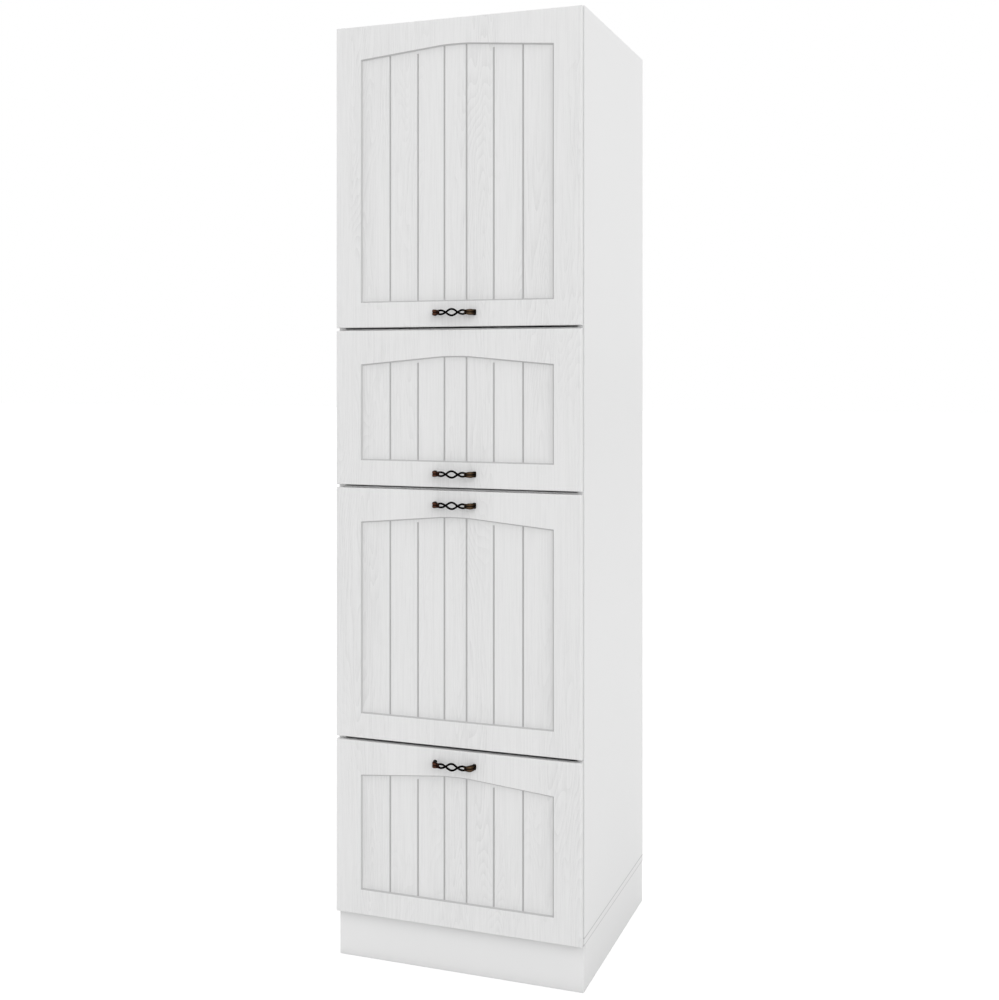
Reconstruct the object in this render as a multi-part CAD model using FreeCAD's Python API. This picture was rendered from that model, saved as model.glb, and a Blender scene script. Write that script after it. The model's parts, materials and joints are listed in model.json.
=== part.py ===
import FreeCAD, Part
import math
import os

V = FreeCAD.Vector

# All sizes are in millimetres: X to the right, Y towards the wall, Z up from the floor

# Carcass
CABINET_W = 600.0
CARCASS_D = 560.0
PANEL_T = 16.0
BACK_T = 3.0
BACK_INSET = 2.0
BACK_JOINT_GAP = 1.0
PLINTH_H = 106.0
PLINTH_INSET = 2.0
PLINTH_BACK_SET = 40.0
CORNER_BLOCK = 30.0
CORNER_BLOCK_H = 80.0
SHELF_SET_BACK = 24.0
SHELF_END_PLAY = 1.0
MIDDLE_SHELF_DROP = 4.0

# Wall rail and its two fixing holes
WALL_RAIL_H = 90.0
WALL_HOLE_R = 3.5
WALL_HOLE_SPACING = 400.0

# Shelf pins
PIN_R = 2.5
PIN_IN_PANEL = 10.0
PIN_OUT = 9.0
PIN_FRONT_SET = 60.0
PIN_BACK_SET = 70.0

# Cam discs that pull the fixed panels to the sides
CAM_R = 7.5
CAM_DEPTH = 12.5
CAM_EDGE = 34.0
CAM_FRONT_SET = 60.0
CAM_BACK_SET = 80.0
CAM_SLOT_W = 2.0
CAM_SLOT_DEPTH = 3.0

# Fronts
FRONT_T = 18.0
FRONT_STANDOFF = 2.0
FRONT_GAP = 7.0
FRONT_SIDE_REVEAL = 1.5
FRONT_BASE_DROP = 14.0
TOP_REVEAL = 4.0
LOWER_DRAWER_FRONT_H = 405.0
UPPER_DRAWER_FRONT_H = 584.0
LOWER_FLAP_FRONT_H = 360.0
UPPER_FLAP_FRONT_H = 704.0
FRONT_EDGE_R = 2.5
FRONT_BACK_EASE = 1.0

# Routed panel on each front
STILE_W = 66.5
BOTTOM_RAIL = 61.0
TOP_RAIL_CENTRE = 62.7
TOP_RAIL_CORNER = 81.5
ARCH_FLAT_HALF = 27.0
ARCH_BEND_RUN = 14.0
ARCH_BEND_STEPS = 4
RECESS_DEPTH = 4.0
RECESS_WALL = 3.0
GROOVE_X = (27.0, 92.5, 162.0)
GROOVE_W = 4.4
GROOVE_DEPTH = 2.2
SHORT_GROOVE = 1

# Bow handle with an openwork grip
HANDLE_REACH = 23.0
HANDLE_HOLES = 96.0
HANDLE_FROM_EDGE = 32.0
FOOT_W = 8.0
FOOT_H = 13.4
FOOT_EASE = 1.2
LEG_LEAN = 4.2
LEG_BEND = 4.5
BLOCK_INNER_X = 31.0
BLOCK_INNER_H = 11.0
BLOCK_T = 5.6
GRIP_BAR_W = 4.0
GRIP_T = 3.4
GRIP_CROSS_X = 14.4
GRIP_INTO_BLOCK = 7.5
GRIP_ARC_STEPS = 9
EYE_HALF_H = 7.3
SIDE_EYE_HALF_H = 4.4
HANDLE_SCREW_R = 2.0
HANDLE_SCREW_IN_FOOT = 9.0
HANDLE_SCREW_PLAY = 0.3
SCREW_HEAD_R = 4.0
SCREW_HEAD_H = 2.4

# Clear buffers between fronts and carcass
BUFFER_R = 4.0
BUFFER_FROM_EDGE = 40.0

# Cup hinges of the two flaps
HINGE_FROM_END = 100.0
CUP_R = 17.5
CUP_WALL = 0.6
CUP_DEPTH = 12.5
CUP_FLOOR = 1.0
CUP_EDGE = 3.0
CUP_FLANGE_HALF_W = 26.0
CUP_FLANGE_LOW = 14.0
CUP_FLANGE_HIGH = 6.0
CUP_FLANGE_T = 1.0
HINGE_PIN_R = 1.25
HINGE_PIN_HALF = 8.0
HINGE_PIN_PLAY = 0.05
PIN_FROM_BACK = 9.0
PIN_FROM_TOP = 6.4
KNUCKLE_R = 2.2
ARM_NECK_HALF_W = 3.0
ARM_HALF_W = 7.0
ARM_T = 3.0
ARM_DROP = 15.0
ARM_NECK_LENGTH = 24.0
ARM_SHOULDER = 12.0
ARM_END = 86.0
ARM_NOSE = 6.0
PLATE_CENTRE = 37.0
PLATE_HALF_L = 11.0
PLATE_HALF_W = 24.0
PLATE_T = 2.0
RISER_START = 18.0
RISER_END = 78.0

# Gas struts
STRUT_X_FROM_SIDE = 16.0
STRUT_TUBE_R = 7.5
STRUT_ROD_R = 3.0
STRUT_ROD_PLAY = 0.05
STRUT_EYE_T = 8.0
STRUT_EYE_R = 7.0
STRUT_ROD_EYE_R = 6.0
STRUT_STUD_R = 4.0
STRUT_STUD_PLAY = 0.05
STRUT_STUD_OVER = 1.0
STRUT_LOW_BACK = 90.0
STRUT_LOW_DROP = 270.0
STRUT_TOP_BACK = 26.0
STRUT_TOP_DROP = 70.0
STRUT_ROD_SHOWN = 40.0
STRUT_ROD_INSIDE = 94.0
STRUT_BORE_SPARE = 6.0
STRUT_PLATE_T = 3.0
STRUT_PLATE_HALF_H = 18.0
STRUT_PLATE_HALF_W = 10.0
SHELF_BELOW_STRUT = 65.6
FLAP_TAB_T = 3.0
FLAP_TAB_GAP = 3.0
FLAP_TAB_HALF_H = 8.0
FLAP_TAB_OVER = 6.0
FLAP_STUD_AIR = 0.3
FLAP_BASE_T = 2.5
FLAP_BASE_HALF_H = 20.0
FLAP_BASE_W = 9.5
FLAP_BASE_FROM_SIDE = 1.5

# Drawer boxes
BOX_LENGTH = 500.0
BOX_LIFT = 26.0
LOWER_BOX_H = 220.0
UPPER_BOX_H = 280.0
BOX_BOTTOM_T = 4.0
BOX_BOTTOM_LIFT = 10.0
BOX_GROOVE = 6.0
BOX_GROOVE_PLAY = 0.2

# Telescopic runners: three folded steel members inside one another
RUNNER_L = 500.0
RUNNER_SPACE = 13.0
RUNNER_H = 45.0
RUNNER_T = 1.2
RUNNER_AIR = 0.35
RUNNER_LIP = 4.0
RUNNER_OUTER_W = 10.2
RUNNER_HOOK = 3.2
RUNNER_LIFT = 60.0
RUNNER_FRONT_SET = 2.0

# Flats on small round pieces
FINE_SIDES = 24
PLAIN_SIDES = 16
CAM_SIDES = 12
SMALL_SIDES = 8

# Positions that follow from the sizes
OVERALL_D = HANDLE_REACH + FRONT_T + FRONT_STANDOFF + CARCASS_D
Y_BACK = OVERALL_D / 2
Y_PANEL_BACK = Y_BACK - BACK_T
Y_CARCASS = Y_BACK - CARCASS_D
Y_FRONT_BACK = Y_CARCASS - FRONT_STANDOFF
Y_FACE = Y_FRONT_BACK - FRONT_T
HALF_W = CABINET_W / 2
INNER_X = HALF_W - PANEL_T
FRONT_HALF_W = HALF_W - FRONT_SIDE_REVEAL
ROUTED_HALF_W = FRONT_HALF_W - STILE_W
Z_FLOOR = PLINTH_H + PANEL_T
LOWER_DRAWER_Z = Z_FLOOR - FRONT_BASE_DROP
UPPER_DRAWER_Z = LOWER_DRAWER_Z + LOWER_DRAWER_FRONT_H + FRONT_GAP
LOWER_FLAP_Z = UPPER_DRAWER_Z + UPPER_DRAWER_FRONT_H + FRONT_GAP
UPPER_FLAP_Z = LOWER_FLAP_Z + LOWER_FLAP_FRONT_H + FRONT_GAP
LOWER_FLAP_TOP = LOWER_FLAP_Z + LOWER_FLAP_FRONT_H
UPPER_FLAP_TOP = UPPER_FLAP_Z + UPPER_FLAP_FRONT_H
Z_TOP = UPPER_FLAP_TOP + TOP_REVEAL
PANEL_DROP = PANEL_T - TOP_REVEAL
UPPER_SHELF_Z = LOWER_FLAP_TOP - PANEL_DROP
MIDDLE_SHELF_Z = LOWER_FLAP_Z - MIDDLE_SHELF_DROP - PANEL_T
TOP_PANEL_Z = Z_TOP - PANEL_T
UPPER_STRUT_FOOT_Z = UPPER_FLAP_TOP - PIN_FROM_TOP - STRUT_LOW_DROP - STRUT_PLATE_HALF_H
LOOSE_SHELF_Z = UPPER_STRUT_FOOT_Z - SHELF_BELOW_STRUT - PANEL_T
Y_HINGE = Y_FRONT_BACK - PIN_FROM_BACK
HINGE_X = FRONT_HALF_W - HINGE_FROM_END
STRUT_X = INNER_X - STRUT_X_FROM_SIDE
BOX_HALF_W = INNER_X - RUNNER_SPACE
CUT_OVER = 1.0
NEAR = 0.01

parts = {}


def box(x0, x1, y0, y1, z0, z1):
    """Block between two corners."""
    return Part.makeBox(x1 - x0, y1 - y0, z1 - z0, V(x0, y0, z0))


def rod_x(x0, x1, y, z, r):
    """Truly round bar along X, for pivots."""
    return Part.makeCylinder(r, x1 - x0, V(x0, y, z), V(1, 0, 0))


def polygon(points):
    """Closed wire through the points."""
    return Part.makePolygon(points + points[:1])


def prism(points, direction):
    """Solid of a flat outline pushed along a direction."""
    return Part.Face(polygon(points)).extrude(direction)


def peg(start, along, r, sides):
    """Many-sided peg from a point along one of the three axes."""
    across = V(0, 0, 1) if abs(along.z) < NEAR else V(1, 0, 0)
    other = across.cross(along).normalize()
    points = []
    for side in range(sides):
        angle = 2 * math.pi * (side + 0.5) / sides
        points.append(start + across * (r * math.cos(angle)) + other * (r * math.sin(angle)))
    return prism(points, along)


def mirrored(shape):
    """The same shape on the other side of the cabinet's middle."""
    return shape.mirror(V(0, 0, 0), V(1, 0, 0))


def pair(shape):
    """A shape and its mirror image."""
    return [shape, mirrored(shape)]


def add(name, *shapes):
    """Keep one node, a single solid or a group of solids."""
    if len(shapes) == 1:
        parts[name] = shapes[0]
    else:
        parts[name] = Part.makeCompound(list(shapes))


def arch_height(x, front_h):
    """Height of the routed panel's upper edge above the front's lower edge."""
    slope = (TOP_RAIL_CORNER - TOP_RAIL_CENTRE) / (ROUTED_HALF_W - ARCH_FLAT_HALF)
    return front_h - TOP_RAIL_CENTRE - slope * max(0.0, abs(x) - ARCH_FLAT_HALF)


def arch_points(front_h):
    """Upper edge of the routed panel from right to left, with softened bends."""
    inner = ARCH_FLAT_HALF - ARCH_BEND_RUN
    outer = ARCH_FLAT_HALF + ARCH_BEND_RUN
    high = arch_height(0.0, front_h)
    low = arch_height(outer, front_h)
    bend = []
    for step in range(ARCH_BEND_STEPS + 1):
        t = step / ARCH_BEND_STEPS
        bend.append((inner + t * (outer - inner), high + t ** 2 * (low - high)))
    corner_z = arch_height(ROUTED_HALF_W, front_h)
    right = [(ROUTED_HALF_W, corner_z)] + bend[::-1]
    return right + [(-x, z) for x, z in reversed(right)]


def panel_wire(front_h, y, grow):
    """Outline of the routed panel at one depth, grown outwards."""
    edge_x = ROUTED_HALF_W + grow
    points = [V(-edge_x, y, BOTTOM_RAIL - grow), V(edge_x, y, BOTTOM_RAIL - grow)]
    for x, z in arch_points(front_h):
        at_corner = abs(x) == ROUTED_HALF_W
        points.append(V(math.copysign(edge_x, x) if at_corner else x, y, z + grow))
    return polygon(points)


def groove(x, front_h, end_x):
    """V-groove down the routed panel, ending at the arch height of another place."""
    floor_y = Y_FACE + RECESS_DEPTH
    mouth_y = floor_y - CUT_OVER
    half_mouth = 0.5 * GROOVE_W * (GROOVE_DEPTH + CUT_OVER) / GROOVE_DEPTH
    outline = [
        V(x - half_mouth, mouth_y, BOTTOM_RAIL),
        V(x + half_mouth, mouth_y, BOTTOM_RAIL),
        V(x, floor_y + GROOVE_DEPTH, BOTTOM_RAIL),
    ]
    return prism(outline, V(0, 0, arch_height(end_x, front_h) - BOTTOM_RAIL))


def edges_at(shape, y):
    """Edges that lie in one upright plane."""
    return [e for e in shape.Edges if all(abs(v.Y - y) < NEAR for v in e.Vertexes)]


def front_board(front_h):
    """One front with its routed arch panel, standing at its own lower edge."""
    board = box(-FRONT_HALF_W, FRONT_HALF_W, Y_FACE, Y_FRONT_BACK, 0.0, front_h)
    board = board.makeFillet(FRONT_EDGE_R, edges_at(board, Y_FACE))
    board = board.makeChamfer(FRONT_BACK_EASE, edges_at(board, Y_FRONT_BACK))
    mouth_grow = RECESS_WALL * (RECESS_DEPTH + CUT_OVER) / RECESS_DEPTH
    mouth = panel_wire(front_h, Y_FACE - CUT_OVER, mouth_grow)
    floor = panel_wire(front_h, Y_FACE + RECESS_DEPTH, 0.0)
    board = board.cut(Part.makeLoft([mouth, floor], True, True))
    grooves = []
    for index, x in enumerate(GROOVE_X):
        end_x = GROOVE_X[-1] if index == SHORT_GROOVE else x
        grooves += pair(groove(x, front_h, end_x))
    return board.cut(Part.makeCompound(grooves))


def eye_arc(x0, x1, sag, y, offset):
    """Points along one edge of a grip bar, an arc moved sideways from its middle line."""
    half = (x1 - x0) / 2
    radius = (half ** 2 + sag ** 2) / (2 * abs(sag))
    centre_z = math.copysign(radius - abs(sag), -sag)
    reach = math.asin(half / radius)
    mid_x = (x0 + x1) / 2
    edge_r = radius + offset
    points = []
    for step in range(GRIP_ARC_STEPS + 1):
        angle = reach * (2 * step / GRIP_ARC_STEPS - 1)
        rise = math.copysign(edge_r * math.cos(angle), sag)
        points.append(V(mid_x + edge_r * math.sin(angle), y, centre_z + rise))
    return points


def eye_bar(x0, x1, sag, y):
    """Curved bar of the grip between two crossings."""
    outer = eye_arc(x0, x1, sag, y, GRIP_BAR_W / 2)
    inner = eye_arc(x0, x1, sag, y, -GRIP_BAR_W / 2)
    return prism(outer + inner[::-1], V(0, GRIP_T, 0))


def handle_grip():
    """Openwork grip: two bars that cross twice and leave three eyes."""
    front_y = -HANDLE_REACH
    end_x = BLOCK_INNER_X + GRIP_INTO_BLOCK
    bars = []
    for sign in (1, -1):
        bars.append(eye_bar(-GRIP_CROSS_X, GRIP_CROSS_X, sign * EYE_HALF_H, front_y))
        bars += pair(eye_bar(GRIP_CROSS_X, end_x, sign * SIDE_EYE_HALF_H, front_y))
    return bars


def handle_foot():
    """Leaning leg and flared end block of the handle on its right, with the screw hole."""
    hole_x = HANDLE_HOLES / 2
    out_x = hole_x + FOOT_W / 2
    in_x = hole_x - FOOT_W / 2
    front_y = -HANDLE_REACH + FOOT_EASE / 2
    rear_y = front_y + BLOCK_T
    bend_x = out_x - LEG_LEAN
    plan = [
        V(out_x, 0, 0),
        V(bend_x, front_y + LEG_BEND, 0),
        V(bend_x - LEG_BEND / 2, front_y + LEG_BEND / 4, 0),
        V(bend_x - LEG_BEND, front_y, 0),
        V(BLOCK_INNER_X, front_y, 0),
        V(BLOCK_INNER_X, rear_y, 0),
        V(in_x - LEG_LEAN - LEG_BEND / 2, rear_y, 0),
        V(in_x - LEG_LEAN / 2, rear_y + LEG_BEND / 2, 0),
        V(in_x, 0, 0),
    ]
    half_h = FOOT_H / 2
    inner_half_h = BLOCK_INNER_H / 2
    elevation = [
        V(BLOCK_INNER_X, 0, inner_half_h),
        V(bend_x, 0, half_h),
        V(out_x, 0, half_h),
        V(out_x, 0, -half_h),
        V(bend_x, 0, -half_h),
        V(BLOCK_INNER_X, 0, -inner_half_h),
    ]
    end_view = [
        V(BLOCK_INNER_X, 0, half_h),
        V(BLOCK_INNER_X, front_y + FOOT_EASE, half_h),
        V(BLOCK_INNER_X, front_y, half_h - FOOT_EASE),
        V(BLOCK_INNER_X, front_y, FOOT_EASE - half_h),
        V(BLOCK_INNER_X, front_y + FOOT_EASE, -half_h),
        V(BLOCK_INNER_X, 0, -half_h),
    ]
    foot = prism(plan, V(0, 0, FOOT_H)).translated(V(0, 0, -half_h))
    foot = foot.common(prism(elevation, V(0, -HANDLE_REACH, 0)))
    foot = foot.common(prism(end_view, V(out_x - BLOCK_INNER_X, 0, 0)))
    screw_start = V(hole_x, -HANDLE_SCREW_IN_FOOT, 0)
    depth = V(0, HANDLE_SCREW_IN_FOOT + CUT_OVER, 0)
    return foot.cut(peg(screw_start, depth, HANDLE_SCREW_R, SMALL_SIDES))


def handle_casting():
    """Bow handle cast in one piece: two feet with end blocks and the openwork grip."""
    foot = handle_foot()
    return foot.fuse([mirrored(foot)] + handle_grip()).removeSplitter()


def fit_handle(name, board, handle_z):
    """Handle, its two screws and the holes they need in the front."""
    hole_r = HANDLE_SCREW_R + HANDLE_SCREW_PLAY
    screws = []
    for x in (HANDLE_HOLES / 2, -HANDLE_HOLES / 2):
        hole_start = V(x, Y_FACE - CUT_OVER, handle_z)
        board = board.cut(peg(hole_start, V(0, FRONT_T + 2 * CUT_OVER, 0), hole_r, SMALL_SIDES))
        shank_start = V(x, Y_FACE - HANDLE_SCREW_IN_FOOT, handle_z)
        shank_length = V(0, HANDLE_SCREW_IN_FOOT + FRONT_T, 0)
        shank = peg(shank_start, shank_length, HANDLE_SCREW_R, SMALL_SIDES)
        head = peg(V(x, Y_FRONT_BACK, handle_z), V(0, SCREW_HEAD_H, 0), SCREW_HEAD_R, SMALL_SIDES)
        screws.append(shank.fuse(head))
    add(name + "_handle", handle_casting().translated(V(0, Y_FACE, handle_z)))
    add(name + "_handle_screws", *screws)
    return board


def cup_pocket(x, top_z):
    """Round pocket for a hinge cup in the back of a flap, and the cup's own outside."""
    start = V(x, Y_FRONT_BACK - CUP_DEPTH, top_z - CUP_EDGE - CUP_R)
    return peg(start, V(0, CUP_DEPTH, 0), CUP_R, FINE_SIDES)


def hinge_cup(x, top_z):
    """Hinge cup let into the back of a flap, with its screw flange."""
    centre_z = top_z - CUP_EDGE - CUP_R
    floor_y = Y_FRONT_BACK - CUP_DEPTH + CUP_FLOOR
    flange = box(
        x - CUP_FLANGE_HALF_W, x + CUP_FLANGE_HALF_W, Y_FRONT_BACK, Y_FRONT_BACK + CUP_FLANGE_T,
        centre_z - CUP_FLANGE_LOW, centre_z + CUP_FLANGE_HIGH,
    )
    hollow = peg(V(x, floor_y, centre_z), V(0, CUP_DEPTH + CUT_OVER, 0), CUP_R - CUP_WALL, FINE_SIDES)
    return cup_pocket(x, top_z).fuse(flange).cut(hollow)


def hinge_arm(x, top_z):
    """Cranked arm from the hinge pin to the plate under the panel above."""
    pin_z = top_z - PIN_FROM_TOP
    low_z = pin_z - ARM_DROP
    neck_x = x - ARM_NECK_HALF_W
    neck_y = Y_HINGE + ARM_NECK_LENGTH
    side_view = [
        V(neck_x, Y_HINGE - ARM_T / 2, pin_z),
        V(neck_x, Y_HINGE - ARM_T / 2, low_z + ARM_T / 2),
        V(neck_x, Y_HINGE, low_z),
        V(neck_x, neck_y, low_z),
        V(neck_x, neck_y, low_z + ARM_T),
        V(neck_x, Y_HINGE + ARM_T, low_z + ARM_T),
        V(neck_x, Y_HINGE + ARM_T / 2, low_z + ARM_T * 1.5),
        V(neck_x, Y_HINGE + ARM_T / 2, pin_z),
    ]
    crank = prism(side_view, V(2 * ARM_NECK_HALF_W, 0, 0))
    end_y = Y_CARCASS + ARM_END
    plan = [
        V(x - ARM_NECK_HALF_W, neck_y, low_z),
        V(x + ARM_NECK_HALF_W, neck_y, low_z),
        V(x + ARM_HALF_W, neck_y + ARM_SHOULDER, low_z),
        V(x + ARM_HALF_W, end_y - ARM_NOSE, low_z),
        V(x + ARM_NECK_HALF_W, end_y, low_z),
        V(x - ARM_NECK_HALF_W, end_y, low_z),
        V(x - ARM_HALF_W, end_y - ARM_NOSE, low_z),
        V(x - ARM_HALF_W, neck_y + ARM_SHOULDER, low_z),
    ]
    bar = prism(plan, V(0, 0, ARM_T))
    knuckle = peg(V(neck_x, Y_HINGE, pin_z), V(2 * ARM_NECK_HALF_W, 0, 0), KNUCKLE_R, PLAIN_SIDES)
    arm = crank.fuse([bar, knuckle]).removeSplitter()
    bore_r = HINGE_PIN_R + HINGE_PIN_PLAY
    return arm.cut(rod_x(x - HINGE_PIN_HALF, x + HINGE_PIN_HALF, Y_HINGE, pin_z, bore_r))


def hinge_plate(x, top_z):
    """Winged mounting plate screwed under the panel above a flap."""
    panel_z = top_z - PANEL_DROP
    arm_top = top_z - PIN_FROM_TOP - ARM_DROP + ARM_T
    centre_y = Y_CARCASS + PLATE_CENTRE
    wing_x = PLATE_HALF_W
    plan = [
        V(x - wing_x, centre_y - PLATE_HALF_L / 2, panel_z),
        V(x - ARM_HALF_W, centre_y - PLATE_HALF_L, panel_z),
        V(x + ARM_HALF_W, centre_y - PLATE_HALF_L, panel_z),
        V(x + wing_x, centre_y - PLATE_HALF_L / 2, panel_z),
        V(x + wing_x, centre_y + PLATE_HALF_L / 2, panel_z),
        V(x + ARM_HALF_W, centre_y + PLATE_HALF_L, panel_z),
        V(x - ARM_HALF_W, centre_y + PLATE_HALF_L, panel_z),
        V(x - wing_x, centre_y + PLATE_HALF_L / 2, panel_z),
    ]
    plate = prism(plan, V(0, 0, -PLATE_T))
    riser = box(
        x - ARM_HALF_W, x + ARM_HALF_W, Y_CARCASS + RISER_START, Y_CARCASS + RISER_END,
        arm_top, panel_z,
    )
    return plate.fuse(riser).removeSplitter()


def strut_points(top_z):
    """Lower and upper pivot of a strut with its flap closed."""
    pin_z = top_z - PIN_FROM_TOP
    low = V(STRUT_X, Y_HINGE + STRUT_LOW_BACK, pin_z - STRUT_LOW_DROP)
    high = V(STRUT_X, Y_HINGE + STRUT_TOP_BACK, pin_z - STRUT_TOP_DROP)
    return low, high


def lean_to_strut(shape, low, high):
    """Turn a shape built upright at the origin onto the strut's line."""
    lean = math.degrees(math.atan2(low.y - high.y, high.z - low.z))
    shape.rotate(V(0, 0, 0), V(1, 0, 0), lean)
    shape.translate(low)
    return shape


def strut_tube(low, high):
    """Gas cylinder with the eye that turns on the wall stud."""
    length = high.distanceToPoint(low)
    tube_low = STRUT_STUD_R + STRUT_EYE_R
    tube_length = length - STRUT_ROD_SHOWN - tube_low
    half_t = STRUT_EYE_T / 2
    tube = peg(V(0, 0, tube_low), V(0, 0, tube_length), STRUT_TUBE_R, PLAIN_SIDES)
    eye = peg(V(-half_t, 0, 0), V(STRUT_EYE_T, 0, 0), STRUT_EYE_R, PLAIN_SIDES)
    link = box(-half_t, half_t, -half_t, half_t, STRUT_STUD_R, tube_low)
    bore_low = length - STRUT_ROD_INSIDE - STRUT_ROD_SHOWN - STRUT_BORE_SPARE
    bore_r = STRUT_ROD_R + STRUT_ROD_PLAY
    bore = peg(V(0, 0, bore_low), V(0, 0, length - bore_low), bore_r, PLAIN_SIDES)
    hole_r = (STRUT_STUD_R + STRUT_STUD_PLAY) / math.cos(math.pi / PLAIN_SIDES)
    stud_hole = peg(V(-STRUT_EYE_T, 0, 0), V(2 * STRUT_EYE_T, 0, 0), hole_r, PLAIN_SIDES)
    body = tube.fuse([eye, link]).removeSplitter().cut(Part.makeCompound([bore, stud_hole]))
    return lean_to_strut(body, low, high)


def strut_rod(low, high):
    """Piston rod with its end fitting beside the flap's stud."""
    length = high.distanceToPoint(low)
    rod_low = length - STRUT_ROD_INSIDE - STRUT_ROD_SHOWN
    half_t = STRUT_EYE_T / 2
    rod = peg(V(0, 0, rod_low), V(0, 0, length - rod_low), STRUT_ROD_R, PLAIN_SIDES)
    eye = peg(V(-half_t, 0, length), V(STRUT_EYE_T, 0, 0), STRUT_ROD_EYE_R, PLAIN_SIDES)
    return lean_to_strut(rod.fuse(eye).removeSplitter(), low, high)


def strut_wall_bracket(low):
    """Plate on the side panel with the stud that carries the cylinder."""
    plate = box(
        INNER_X - STRUT_PLATE_T, INNER_X, low.y - STRUT_PLATE_HALF_W, low.y + STRUT_PLATE_HALF_W,
        low.z - STRUT_PLATE_HALF_H, low.z + STRUT_PLATE_HALF_H,
    )
    stud_end = STRUT_X - STRUT_EYE_T / 2 - STRUT_STUD_OVER
    return plate.fuse(rod_x(stud_end, INNER_X - STRUT_PLATE_T, low.y, low.z, STRUT_STUD_R))


def strut_flap_bracket(high):
    """Angle on the back of the flap with the stud beside the rod's end."""
    outer_x = INNER_X - FLAP_BASE_FROM_SIDE
    base = box(
        outer_x - FLAP_BASE_W, outer_x, Y_FRONT_BACK, Y_FRONT_BACK + FLAP_BASE_T,
        high.z - FLAP_BASE_HALF_H, high.z + FLAP_BASE_HALF_H,
    )
    eye_face = STRUT_X + STRUT_EYE_T / 2
    tab_x = eye_face + FLAP_TAB_GAP
    tab_y = high.y + FLAP_TAB_OVER
    tab_side = [
        V(tab_x, Y_FRONT_BACK, high.z - FLAP_BASE_HALF_H),
        V(tab_x, high.y, high.z - FLAP_TAB_HALF_H),
        V(tab_x, tab_y, high.z - FLAP_TAB_HALF_H / 2),
        V(tab_x, tab_y, high.z + FLAP_TAB_HALF_H / 2),
        V(tab_x, high.y, high.z + FLAP_TAB_HALF_H),
        V(tab_x, Y_FRONT_BACK, high.z + FLAP_BASE_HALF_H),
    ]
    tab = prism(tab_side, V(FLAP_TAB_T, 0, 0))
    stud_x = eye_face + FLAP_STUD_AIR
    stud = peg(V(stud_x, high.y, high.z), V(tab_x - stud_x, 0, 0), STRUT_STUD_R, PLAIN_SIDES)
    return base.fuse([tab, stud]).removeSplitter()


def make_flap(name, front_z, front_h):
    """One lift-up flap with handle, hinges and gas struts."""
    top_z = front_z + front_h
    pin_z = top_z - PIN_FROM_TOP
    board = front_board(front_h).translated(V(0, 0, front_z))
    board = fit_handle(name, board, front_z + HANDLE_FROM_EDGE)
    cups = []
    pins = []
    for x in (HINGE_X, -HINGE_X):
        board = board.cut(cup_pocket(x, top_z))
        pin = rod_x(x - HINGE_PIN_HALF, x + HINGE_PIN_HALF, Y_HINGE, pin_z, HINGE_PIN_R)
        cups.append(hinge_cup(x, top_z).cut(pin))
        pins.append(pin)
    low, high = strut_points(top_z)
    add(name + "_front", board)
    add(name + "_hinge_cups", *cups)
    add(name + "_hinge_pins", *pins)
    add(name + "_strut_brackets", *pair(strut_flap_bracket(high)))
    add(name + "_strut_cylinders", *pair(strut_tube(low, high)))
    add(name + "_strut_rods", *pair(strut_rod(low, high)))


def make_flap_hardware():
    """Hinge arms, hinge plates and strut brackets that stay on the carcass."""
    arms = []
    plates = []
    brackets = []
    for top_z in (UPPER_FLAP_TOP, LOWER_FLAP_TOP):
        for x in (HINGE_X, -HINGE_X):
            arms.append(hinge_arm(x, top_z))
            plates.append(hinge_plate(x, top_z))
        brackets += pair(strut_wall_bracket(strut_points(top_z)[0]))
    add("hinge_arms", *arms)
    add("hinge_plates", *plates)
    add("strut_wall_brackets", *brackets)


def runner_member(half_profile, runner_z):
    """One folded runner member from the upper half of its profile."""
    y0 = Y_CARCASS + RUNNER_FRONT_SET
    upper = [V(INNER_X - u, y0, runner_z + z) for u, z in half_profile]
    lower = [V(INNER_X - u, y0, runner_z - z) for u, z in reversed(half_profile)]
    return prism(upper + lower, V(0, RUNNER_L, 0))


def outer_runner(runner_z):
    """Cabinet member: channel with turned-in lips, screwed to the side panel."""
    top = RUNNER_H / 2
    lip_u = RUNNER_OUTER_W - RUNNER_T
    return runner_member([
        (RUNNER_T, top - RUNNER_T),
        (lip_u, top - RUNNER_T),
        (lip_u, top - RUNNER_LIP),
        (RUNNER_OUTER_W, top - RUNNER_LIP),
        (RUNNER_OUTER_W, top),
        (0.0, top),
    ], runner_z)


def middle_runner(runner_z):
    """Middle member: lipped channel that runs inside the cabinet member."""
    step = RUNNER_T + RUNNER_AIR
    top = RUNNER_H / 2 - step
    edge_u = RUNNER_OUTER_W - step
    return runner_member([
        (step + RUNNER_T, top - RUNNER_T),
        (edge_u - RUNNER_T, top - RUNNER_T),
        (edge_u - RUNNER_T, top - RUNNER_LIP),
        (edge_u, top - RUNNER_LIP),
        (edge_u, top),
        (step, top),
    ], runner_z)


def inner_runner(runner_z):
    """Drawer member: hat section whose hooks run inside the middle member."""
    step = RUNNER_T + RUNNER_AIR
    top = RUNNER_H / 2 - 2 * step
    neck = RUNNER_H / 2 - step - RUNNER_LIP - RUNNER_AIR
    hook_u = 2 * step + RUNNER_HOOK
    return runner_member([
        (RUNNER_SPACE - RUNNER_T, neck - RUNNER_T),
        (hook_u - RUNNER_T, neck - RUNNER_T),
        (hook_u - RUNNER_T, top),
        (hook_u, top),
        (hook_u, neck),
        (RUNNER_SPACE, neck),
    ], runner_z)


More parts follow.
